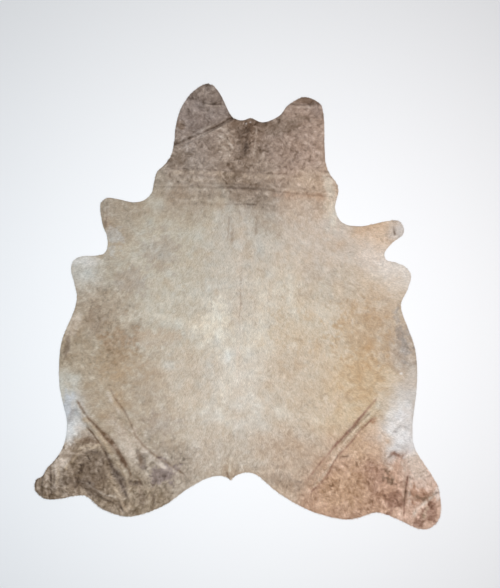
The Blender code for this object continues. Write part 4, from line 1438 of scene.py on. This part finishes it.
@dataclass
class HideRelief:
    """The sheet's height: the main folds, and the strokes' small relief on them."""

    pattern: HidePattern
    folds: FoldField
    grid: FloorGrid
    thickness: float = 2.0 * MM
    rim_drop: float = 6.0 * MM
    rim_steps: int = 12
    reach: float = 2.2
    fade: float = 3.0 * CM
    ground_layer: Array = field(init=False)

    def __post_init__(self) -> None:
        """Measures the underside and the hair's ground on the grid."""
        shape = (self.grid.rows, self.grid.columns)
        underside = self.height(self.grid.places()).reshape(shape)
        off = self.grid.distance_off(self.grid.covered(self.pattern.rim), self.rim_steps)
        kept = np.clip(1.0 - off / self.rim_drop, 0.0, 1.0)
        self.ground_layer = (underside + self.thickness) * kept

    def small(self, places: Array) -> Array:
        """The small ridges and troughs of the strokes, in metres."""
        relief = np.zeros(len(places))
        for stroke in STROKES:
            line = self.pattern.route(stroke.route_cm)
            width = stroke.width_cm * CM
            picked, passed, off = line.near(places, self.reach * width)
            shape = np.exp(-(off / width) ** 2) * line.fade(passed, self.fade)
            relief[picked] += stroke.lift_mm * MM * shape
        return relief

    def height(self, places: Array) -> Array:
        """The height of the sheet's underside, never under the floor, in metres."""
        return np.maximum(self.folds.rise(places) + self.small(places), 0.0)

    def ground(self, places: Array) -> Array:
        """The height that the hair lies on: the hide's top, or the floor beyond its rim."""
        return self.grid.look_up(self.ground_layer, places)


def placed(name: str, data: bpy.types.ID) -> bpy.types.Object:
    """A new object in the scene."""
    thing = bpy.data.objects.new(name, data)
    bpy.context.scene.collection.objects.link(thing)
    return thing


class Carried(Enum):
    """The kinds of values that a mesh's points carry, by how each is set."""

    FLOAT = "value"
    FLOAT_VECTOR = "vector"
    FLOAT_COLOR = "color"

    def onto(self, mesh: bpy.types.Mesh, name: str, values: Array) -> None:
        """Gives every point of a mesh its value, under a name."""
        attribute = mesh.attributes.new(name, self.name, "POINT")
        attribute.data.foreach_set(self.value, values.ravel())


def staggered_rows(low: Array, high: Array, step: float) -> Array:
    """Points a step apart in staggered rows over a rectangle of the floor."""
    row_gap = step * math.sin(math.radians(60))
    rows = int(math.ceil((high[1] - low[1]) / row_gap)) + 1
    columns = int(math.ceil((high[0] - low[0]) / step)) + 1
    column, row = np.meshgrid(np.arange(columns), np.arange(rows))
    x = low[0] + step * (column + 0.5 * (row % 2))
    y = low[1] + row_gap * row
    return np.column_stack([x.ravel(), y.ravel()])


@dataclass
class HideSkin:
    """The leather: one closed thin sheet with a hair side, a flesh side and a cut edge."""

    pattern: HidePattern
    relief: HideRelief
    painter: CoatPainter
    rim_thickness: float = 1.4 * MM
    step: float = 9.5 * MM
    rim_clearance: float = 6.0 * MM
    weld: float = 1e-7

    def plan(self) -> tuple[Array, list[list[int]], int]:
        """Cuts the hide's plan into triangles.

        Returns:
            The plan's points with the rim's first, its triangles, and how many points
            the rim has.
        """
        rim = self.pattern.rim
        inner = staggered_rows(rim.min(axis=0), rim.max(axis=0), self.step)
        inner = inner[self.pattern.inside(inner)]
        distance, _ = self.pattern.nearest_on_rim(inner)
        points = np.vstack([rim, inner[distance > self.rim_clearance]])
        only_inside = 1
        places, _, triangles, *_ = delaunay_2d_cdt(
            [Vector(point) for point in points], [], [range(len(rim))], only_inside, self.weld)
        return np.array([tuple(place) for place in places]), triangles, len(rim)

    def build(self) -> bpy.types.Object:
        """Builds and dresses the skin.

        Returns:
            The finished piece.
        """
        places, triangles, rim_count = self.plan()
        height = self.relief.height(places)
        thickness = np.full(len(places), self.relief.thickness)
        thickness[:rim_count] = self.rim_thickness
        count = len(places)
        under = np.column_stack([places, height])
        upper = np.column_stack([places, height + thickness])
        faces = [[i + count for i in triangle] for triangle in triangles]
        faces += [list(reversed(triangle)) for triangle in triangles]
        rim_edges = self.open_edges(triangles)
        faces += [[start, end, end + count, start + count] for start, end in rim_edges]
        mesh = bpy.data.meshes.new("hide_skin")
        mesh.from_pydata(np.vstack([under, upper]).tolist(), [], faces)
        for finish in (HairSideFinish(), SuedeFinish(), CutEdgeFinish()):
            mesh.materials.append(finish.material())
        sides = [0] * len(triangles) + [1] * len(triangles) + [2] * len(rim_edges)
        mesh.polygons.foreach_set("material_index", sides)
        mesh.polygons.foreach_set("use_smooth", [side < 2 for side in sides])
        colour = np.ones((2 * count, 4))
        colour[:count, :3] = colour[count:, :3] = self.painter.colour(places)
        Carried.FLOAT_COLOR.onto(mesh, "coat_colour", colour)
        mesh.update()
        return placed("hide_skin", mesh)

    @staticmethod
    def open_edges(triangles: list[list[int]]) -> list[tuple[int, int]]:
        """The edges that only one triangle has, in that triangle's direction."""
        edges = {(a, b) for t in triangles for a, b in zip(t, [*t[1:], t[0]])}
        return sorted(edge for edge in edges if edge[::-1] not in edges)


# A Random Value node's sockets for whole numbers, by their place
WHOLE_LOWEST, WHOLE_HIGHEST, WHOLE_VALUE = 4, 5, 2


@dataclass(frozen=True)
class LockTree:
    """The Geometry Nodes tree that lays a lock of hair on every root.

    A root carries its turn, its size, its colour and its corner in the piece's map.
    """

    length: float = 17.0 * MM
    width: float = 3.2 * MM
    lift: float = 2.0 * MM
    bend: float = 2.6 * MM
    tip_width: float = 0.14
    map_inset: float = 0.15
    seed: int = 5

    def tree(self) -> bpy.types.NodeTree:
        """Builds the tree with its named inputs.

        Returns:
            The tree, ready for a Nodes modifier.
        """
        tree = bpy.data.node_groups.new("lay_locks", "GeometryNodeTree")
        sockets = (("Roots", "NodeSocketGeometry"), ("Lock Length", "NodeSocketFloat"),
                   ("Lock Width", "NodeSocketFloat"), ("Lock Lift", "NodeSocketFloat"),
                   ("Side Bend", "NodeSocketFloat"), ("Seed", "NodeSocketInt"),
                   ("Map Cell", "NodeSocketVector"), ("Hair", "NodeSocketMaterial"))
        for name, kind in sockets:
            tree.interface.new_socket(name, in_out="INPUT", socket_type=kind)
        tree.interface.new_socket("Coat", in_out="OUTPUT", socket_type="NodeSocketGeometry")
        nodes = Nodes(tree)
        given = nodes.add("NodeGroupInput").outputs
        shapes = nodes.add("GeometryNodeJoinGeometry")
        for way in (-1.0, 0.0, 1.0):
            bend = nodes.maths("MULTIPLY", given["Side Bend"], way)
            lock = nodes.add("GeometryNodeGeometryToInstance", {0: self.lock(nodes, given, bend)})
            tree.links.new(lock.outputs[0], shapes.inputs[0])
        pick = nodes.add("FunctionNodeRandomValue", {"Seed": given["Seed"]}, data_type="INT")
        nodes.fill(pick, {WHOLE_LOWEST: 0, WHOLE_HIGHEST: 2})
        laid = nodes.add("GeometryNodeInstanceOnPoints", {
            "Points": given["Roots"], "Instance": shapes.outputs[0], "Pick Instance": True,
            "Instance Index": pick.outputs[WHOLE_VALUE],
            "Rotation": self.carried(nodes, "lay"),
            "Scale": self.carried(nodes, "size")})
        plain = nodes.add("GeometryNodeRealizeInstances", {0: laid.outputs[0]})
        mapped = self.mapped(nodes, given, plain.outputs[0])
        smooth = nodes.add("GeometryNodeSetShadeSmooth", {0: mapped})
        coat = nodes.add("GeometryNodeSetMaterial", {
            0: smooth.outputs[0], "Material": given["Hair"]})
        output = nodes.add("NodeGroupOutput")
        tree.links.new(coat.outputs[0], output.inputs[0])
        return tree

    @staticmethod
    def carried(nodes: Nodes, name: str, data_type: str = "FLOAT_VECTOR") -> Socket:
        """What the roots or the locks carry under a name."""
        return nodes.add(
            "GeometryNodeInputNamedAttribute", {0: name}, data_type=data_type).outputs[0]

    def lock(self, nodes: Nodes, given: object, bend: Socket) -> Socket:
        """One flat lock that narrows to its tip, lifts off its root and bends aside."""
        strip = nodes.add("GeometryNodeMeshGrid", {
            "Size X": 1.0, "Size Y": 1.0, "Vertices X": 2, "Vertices Y": 4})
        place = nodes.add("ShaderNodeSeparateXYZ", {
            0: nodes.add("GeometryNodeInputPosition").outputs[0]})
        along = nodes.maths("ADD", place.outputs[1], 0.5)
        across = place.outputs[0]
        squared = nodes.maths("MULTIPLY", along, along)
        taper = nodes.maths("SUBTRACT", 1.0, nodes.maths("MULTIPLY", squared, 1.0 - self.tip_width))
        width = nodes.maths("MULTIPLY", given["Lock Width"], taper)
        aside = nodes.maths("ADD", nodes.maths("MULTIPLY", across, width),
                            nodes.maths("MULTIPLY", bend, squared))
        ahead = nodes.maths("MULTIPLY", along, given["Lock Length"])
        arch = nodes.maths("SUBTRACT", nodes.maths("MULTIPLY", along, 2.0), squared)
        up = nodes.maths("MULTIPLY", arch, given["Lock Lift"])
        with_along = nodes.add("GeometryNodeStoreNamedAttribute", {
            "Geometry": strip.outputs[0], "Name": "along", "Value": along},
            data_type="FLOAT", domain="POINT")
        with_across = nodes.add("GeometryNodeStoreNamedAttribute", {
            "Geometry": with_along.outputs[0], "Name": "across",
            "Value": nodes.maths("ADD", across, 0.5)}, data_type="FLOAT", domain="POINT")
        shaped = nodes.add("ShaderNodeCombineXYZ", {0: aside, 1: ahead, 2: up})
        return nodes.add("GeometryNodeSetPosition", {
            "Geometry": with_across.outputs[0], "Position": shaped.outputs[0]}).outputs[0]

    def mapped(self, nodes: Nodes, given: object, coat: Socket) -> Socket:
        """Gives each lock its own cell of the piece's map."""
        span = 1.0 - 2.0 * self.map_inset
        spots = []
        for name in ("across", "along"):
            share = self.carried(nodes, name, "FLOAT")
            spots.append(nodes.maths("ADD", nodes.maths("MULTIPLY", share, span), self.map_inset))
        within = nodes.add("ShaderNodeCombineXYZ", {0: spots[0], 1: spots[1]})
        scaled = nodes.add("ShaderNodeVectorMath", {
            0: within.outputs[0], 1: given["Map Cell"]}, operation="MULTIPLY")
        spot = nodes.add("ShaderNodeVectorMath", {
            0: scaled.outputs[0], 1: self.carried(nodes, "map_corner")},
            operation="ADD")
        stored = nodes.add("GeometryNodeStoreNamedAttribute", {
            "Geometry": coat, "Name": "OFBake", "Value": spot.outputs[0]},
            data_type="FLOAT2", domain="CORNER")
        return stored.outputs[0]

    def lay(self, name: str, roots: "Roots", dressing: "Dressing") -> bpy.types.Object:
        """Lays the locks on the roots and keeps the result as a plain mesh.

        Args:
            name: The piece's name.
            roots: Where the locks grow, and how each lies.
            dressing: The tree, the hair's material, its colours and its ground.

        Returns:
            The finished piece.
        """
        holder = placed(name + "_roots", roots.mesh(name + "_roots"))
        modifier = holder.modifiers.new("locks", "NODES")
        modifier.node_group = dressing.tree
        values = {"Lock Length": self.length, "Lock Width": self.width, "Lock Lift": self.lift,
                  "Side Bend": self.bend, "Seed": self.seed, "Map Cell": roots.map_cell(),
                  "Hair": dressing.hair}
        for item in dressing.tree.interface.items_tree:
            if item.in_out == "INPUT" and item.name in values:
                modifier[item.identifier] = values[item.name]
        holder.update_tag()
        depsgraph = bpy.context.evaluated_depsgraph_get()
        mesh = bpy.data.meshes.new_from_object(holder.evaluated_get(depsgraph))
        mesh.name = name
        holder.modifiers.remove(modifier)
        bpy.data.objects.remove(holder)
        dressing.settle(mesh)
        return placed(name, mesh)


@dataclass
class Dressing:
    """What every lock is laid with: its tree, its hair, its colours and its ground."""

    tree: bpy.types.NodeTree
    hair: bpy.types.Material
    painter: CoatPainter
    relief: HideRelief
    clear_of_floor: float = 0.3 * MM
    highest: float = 25.0 * MM

    def settle(self, mesh: bpy.types.Mesh) -> None:
        """Drapes laid locks over the folds, and paints them where they come to lie."""
        count = len(mesh.vertices)
        places = np.empty(count * 3)
        mesh.vertices.foreach_get("co", places)
        places = places.reshape(count, 3)
        places[:, 2] += self.relief.ground(places[:, :2])
        places[:, 2] = np.clip(places[:, 2], self.clear_of_floor, self.highest)
        mesh.vertices.foreach_set("co", places.ravel())
        tint = np.empty(count)
        mesh.attributes["tint"].data.foreach_get("value", tint)
        colour = np.clip(self.painter.colour(places[:, :2]) * tint[:, None], 0.0, 1.0)
        painted = np.column_stack([colour, np.ones(count)])
        Carried.FLOAT_COLOR.onto(mesh, "coat_colour", painted)
        for spare in ("lay", "size", "map_corner", "tint"):
            mesh.attributes.remove(mesh.attributes[spare])
        mesh.update()


@dataclass
class Roots:
    """Where locks grow, and how each lies."""

    places: Array
    lay: Array
    size: Array
    tint: Array
    number_step: float = 1.37

    def part(self, chosen: Array) -> "Roots":
        """The chosen roots alone."""
        return Roots(self.places[chosen], self.lay[chosen], self.size[chosen], self.tint[chosen])

    def side(self) -> int:
        """How many cells the piece's map has along one side."""
        return int(math.ceil(math.sqrt(len(self.places))))

    def map_cell(self) -> Triple:
        """The size of one lock's cell in the piece's map."""
        return (1.0 / self.side(), 1.0 / self.side(), 0.0)

    def map_corners(self) -> Array:
        """Each root's corner in the map, neighbours on the hide being neighbours there."""
        side = self.side()
        order = np.argsort(self.places[:, 1], kind="stable")
        corners = np.zeros((len(self.places), 3))
        for row in range(side):
            line = order[row * side:(row + 1) * side]
            line = line[np.argsort(self.places[line, 0], kind="stable")]
            corners[line, 0] = np.arange(len(line)) / side
            corners[line, 1] = row / side
        return corners

    def mesh(self, name: str) -> bpy.types.Mesh:
        """A mesh of loose points that carries all that the tree reads."""
        count = len(self.places)
        mesh = bpy.data.meshes.new(name)
        mesh.vertices.add(count)
        mesh.vertices.foreach_set("co", np.column_stack([self.places, np.zeros(count)]).ravel())
        vectors = {"lay": self.lay, "size": self.size, "map_corner": self.map_corners()}
        for key, values in vectors.items():
            Carried.FLOAT_VECTOR.onto(mesh, key, values)
        numbers = {"tint": self.tint, "lock_number": np.arange(count) * self.number_step}
        for key, values in numbers.items():
            Carried.FLOAT.onto(mesh, key, values)
        return mesh


class Part(NamedTuple):
    """A part of the coat, and the highest place forward that it reaches."""

    name: str
    up_to_cm: float


COAT_PARTS = (
    Part("coat_of_the_haunches", 24.0),
    Part("coat_of_the_loins", 62.0),
    Part("coat_of_the_back", 98.0),
    Part("coat_of_the_shoulders", 136.0),
    Part("coat_of_the_head", 210.0),
)


@dataclass(frozen=True)
class LockSizes:
    """The spans that locks' widths, lengths and lifts are drawn from, as shares."""

    width: Pair
    length: Pair
    lift: Pair

    def drawn(self, rng: Dice, count: int) -> Array:
        """Random sizes for a number of locks."""
        spans = (self.width, self.length, self.lift)
        return np.column_stack([rng.uniform(low, high, count) for low, high in spans])


@dataclass
class RimFringe:
    """The finer hair that reaches over the rim, longer round the haunches."""

    pattern: HidePattern
    hair_lay: HairLay
    seed: int
    sizes: LockSizes = LockSizes((0.35, 0.70), (0.60, 1.25), (0.20, 0.80))
    roots_a_step: int = 3
    inset_mm: Pair = (1.0, 5.0)
    lean: float = 0.35
    lean_back: float = 0.80
    turn_spread: float = 0.35
    short: float = 0.26
    longer: float = 0.36
    long_up_to: float = 36.0 * CM
    long_fade: float = 20.0 * CM
    tint: Pair = (0.96, 0.06)

    def roots(self) -> Roots:
        """The fringe's roots, just inside the rim."""
        rng = np.random.default_rng(self.seed)
        rim, outward = self.pattern.rim, self.pattern.outward()
        number = np.repeat(np.arange(len(rim)), self.roots_a_step)
        count = len(number)
        outward = outward[number]
        along = (np.roll(rim, -1, axis=0) - rim)[number]
        places = rim[number] + along * rng.uniform(0, 1, (count, 1))
        places -= outward * rng.uniform(*self.inset_mm, (count, 1)) * MM
        flow = self.hair_lay.direction(places)
        against = np.clip(-(flow * outward).sum(axis=1), 0.0, 1.0)
        wanted = flow + outward * (self.lean + self.lean_back * against)[:, None]
        aside = flow[:, 0] * wanted[:, 1] - flow[:, 1] * wanted[:, 0]
        turn = np.arctan2(aside, (flow * wanted).sum(axis=1))
        turn += rng.normal(0.0, self.turn_spread, count)
        lay, _ = self.hair_lay.laid(places, turn, np.zeros(count))
        forward = places[:, 1] - rim[:, 1].min()
        size = self.sizes.drawn(rng, count)
        haunch = np.clip((self.long_up_to - forward) / self.long_fade, 0.0, 1.0)
        size[:, 1] *= self.short + self.longer * haunch
        return Roots(places, lay, size, rng.normal(*self.tint, count))


@dataclass
class Coat:
    """The coat of short locks, in parts from the haunches to the head, and its fringe."""

    pattern: HidePattern
    hair_lay: HairLay
    painter: CoatPainter
    relief: HideRelief
    locks: LockTree = LockTree()
    sizes: LockSizes = LockSizes((0.75, 1.25), (0.70, 1.15), (0.50, 1.30))
    spacing: float = 5.3 * MM
    jitter: float = 0.36
    turn_spread: float = 0.30
    tilt_spread: float = 0.04
    overhang: float = 1.0 * MM
    shortest: float = 0.2
    least_facing: float = 0.05
    tint: Pair = (1.0, 0.025)
    seed: int = 23

    def scattered(self, rng: Dice) -> Array:
        """Roots all over the hide, in uneven staggered rows."""
        rim = self.pattern.rim
        points = staggered_rows(rim.min(axis=0), rim.max(axis=0), self.spacing)
        points += rng.uniform(-self.jitter, self.jitter, points.shape) * self.spacing
        return points[self.pattern.inside(points)]

    def roots(self) -> Roots:
        """The roots of the whole coat, with the locks at the rim cut to reach just over it."""
        rng = np.random.default_rng(self.seed)
        places = self.scattered(rng)
        count = len(places)
        turn = rng.normal(0.0, self.turn_spread, count)
        tilt = np.abs(rng.normal(0.0, self.tilt_spread, count))
        lay, ahead = self.hair_lay.laid(places, turn, tilt)
        size = self.sizes.drawn(rng, count)
        distance, rim_point = self.pattern.nearest_on_rim(places)
        facing = (ahead * self.pattern.outward()[rim_point]).sum(axis=1)
        allowed = distance + self.overhang * rng.uniform(0.1, 1.0, count)
        allowed /= np.maximum(facing, self.least_facing) * self.locks.length
        size[:, 1] = np.minimum(size[:, 1], np.maximum(allowed, self.shortest))
        return Roots(places, lay, size, rng.normal(*self.tint, count))

    def build(self) -> list[bpy.types.Object]:
        """Builds and dresses every part of the coat.

        Returns:
            The finished pieces.
        """
        dressing = Dressing(self.locks.tree(), HairFinish().material(), self.painter, self.relief)
        roots = self.roots()
        forward_cm = roots.places[:, 1] / self.pattern.scale + self.pattern.middle[1]
        pieces = []
        low = -math.inf
        for part in COAT_PARTS:
            chosen = (forward_cm >= low) & (forward_cm < part.up_to_cm)
            pieces.append(self.locks.lay(part.name, roots.part(chosen), dressing))
            low = part.up_to_cm
        fringe = RimFringe(self.pattern, self.hair_lay, self.seed + 1)
        pieces.append(self.locks.lay("rim_fringe", fringe.roots(), dressing))
        return pieces


class Softbox(NamedTuple):
    """A square soft light that faces straight down."""

    name: str
    watts: float
    side: float
    place: Triple
    colour: Triple


SOFTBOXES = (
    Softbox("overhead_softbox", 110.0, 1.6, (0.19, -0.12, 3.35), (1.0, 1.0, 0.99)),
    Softbox("left_softbox", 8.0, 1.2, (-1.6, -0.5, 2.7), (0.35, 0.70, 1.0)),
    Softbox("right_softbox", 7.0, 1.4, (1.7, 0.0, 3.1), (1.0, 0.62, 0.60)),
)


@dataclass
class Studio:
    """A pale floor under soft light, and the camera straight above."""

    view_height: float = 2.94
    camera_height: float = 4.5
    look_at: Pair = (0.062, 0.062)
    sensor: float = 24.0
    floor_side: float = 40.0
    floor_colour: Triple = (0.78, 0.79, 0.80)
    floor_roughness: float = 0.85
    sky: Triple = (0.955, 0.965, 1.0)
    sky_strength: float = 0.335

    def floor(self) -> None:
        """Lays the plain floor."""
        half = self.floor_side / 2
        mesh = bpy.data.meshes.new("studio_floor")
        corners = [(-half, -half, 0.0), (half, -half, 0.0), (half, half, 0.0), (-half, half, 0.0)]
        mesh.from_pydata(corners, [], [(0, 1, 2, 3)])
        material, _, shader = fresh_material("plain_floor")
        shader.inputs["Base Color"].default_value = (*self.floor_colour, 1.0)
        shader.inputs["Roughness"].default_value = self.floor_roughness
        mesh.materials.append(material)
        floor = placed("studio_floor", mesh)

    def light(self) -> None:
        """Lights the floor from above, a little cooler on the left than on the right."""
        world = bpy.data.worlds.new("studio_air")
        world.use_nodes = True
        background = world.node_tree.nodes["Background"]
        background.inputs["Color"].default_value = (*self.sky, 1.0)
        background.inputs["Strength"].default_value = self.sky_strength
        bpy.context.scene.world = world
        for box in SOFTBOXES:
            light = bpy.data.lights.new(box.name, "AREA")
            light.shape = "SQUARE"
            light.size = box.side
            light.energy = box.watts
            light.color = box.colour
            lamp = placed(box.name, light)
            lamp.location = box.place
            lamp.visible_camera = False

    def camera(self) -> None:
        """Sets the camera straight above the hide."""
        lens = bpy.data.cameras.new("camera")
        lens.sensor_fit = "VERTICAL"
        lens.sensor_height = self.sensor
        lens.lens = self.sensor * self.camera_height / self.view_height
        camera = placed("camera", lens)
        camera.location = (*self.look_at, self.camera_height)
        bpy.context.scene.camera = camera

    def build(self) -> None:
        """Sets the whole studio up."""
        self.floor()
        self.light()
        self.camera()
        bpy.context.scene.view_settings.view_transform = "Standard"


def triangle_count(piece: bpy.types.Object) -> int:
    """How many triangles a piece's mesh has."""
    return sum(len(face.vertices) - 2 for face in piece.data.polygons)


def main() -> None:
    """Builds the rug and its studio, and hands every piece to the frame."""
    logging.basicConfig(level=logging.INFO, format="%(name)s: %(message)s")
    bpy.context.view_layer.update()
    Studio().build()
    LOG.info("studio: floor, lights and camera")
    pattern = HidePattern()
    hair_lay = HairLay(pattern)
    grid = FloorGrid.around(pattern.rim)
    relief = HideRelief(pattern, FoldField(pattern), grid)
    painter = CoatPainter(pattern, hair_lay, grid)
    skin = HideSkin(pattern, relief, painter).build()
    LOG.info("%s: %d triangles", skin.name, triangle_count(skin))
    coat = Coat(pattern, hair_lay, painter, relief).build()
    for piece in coat:
        LOG.info("%s: %d triangles", piece.name, triangle_count(piece))
    for piece in (skin, *coat):
        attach(piece, "root")
    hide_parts("hide")


if __name__ == "__main__":
    main()
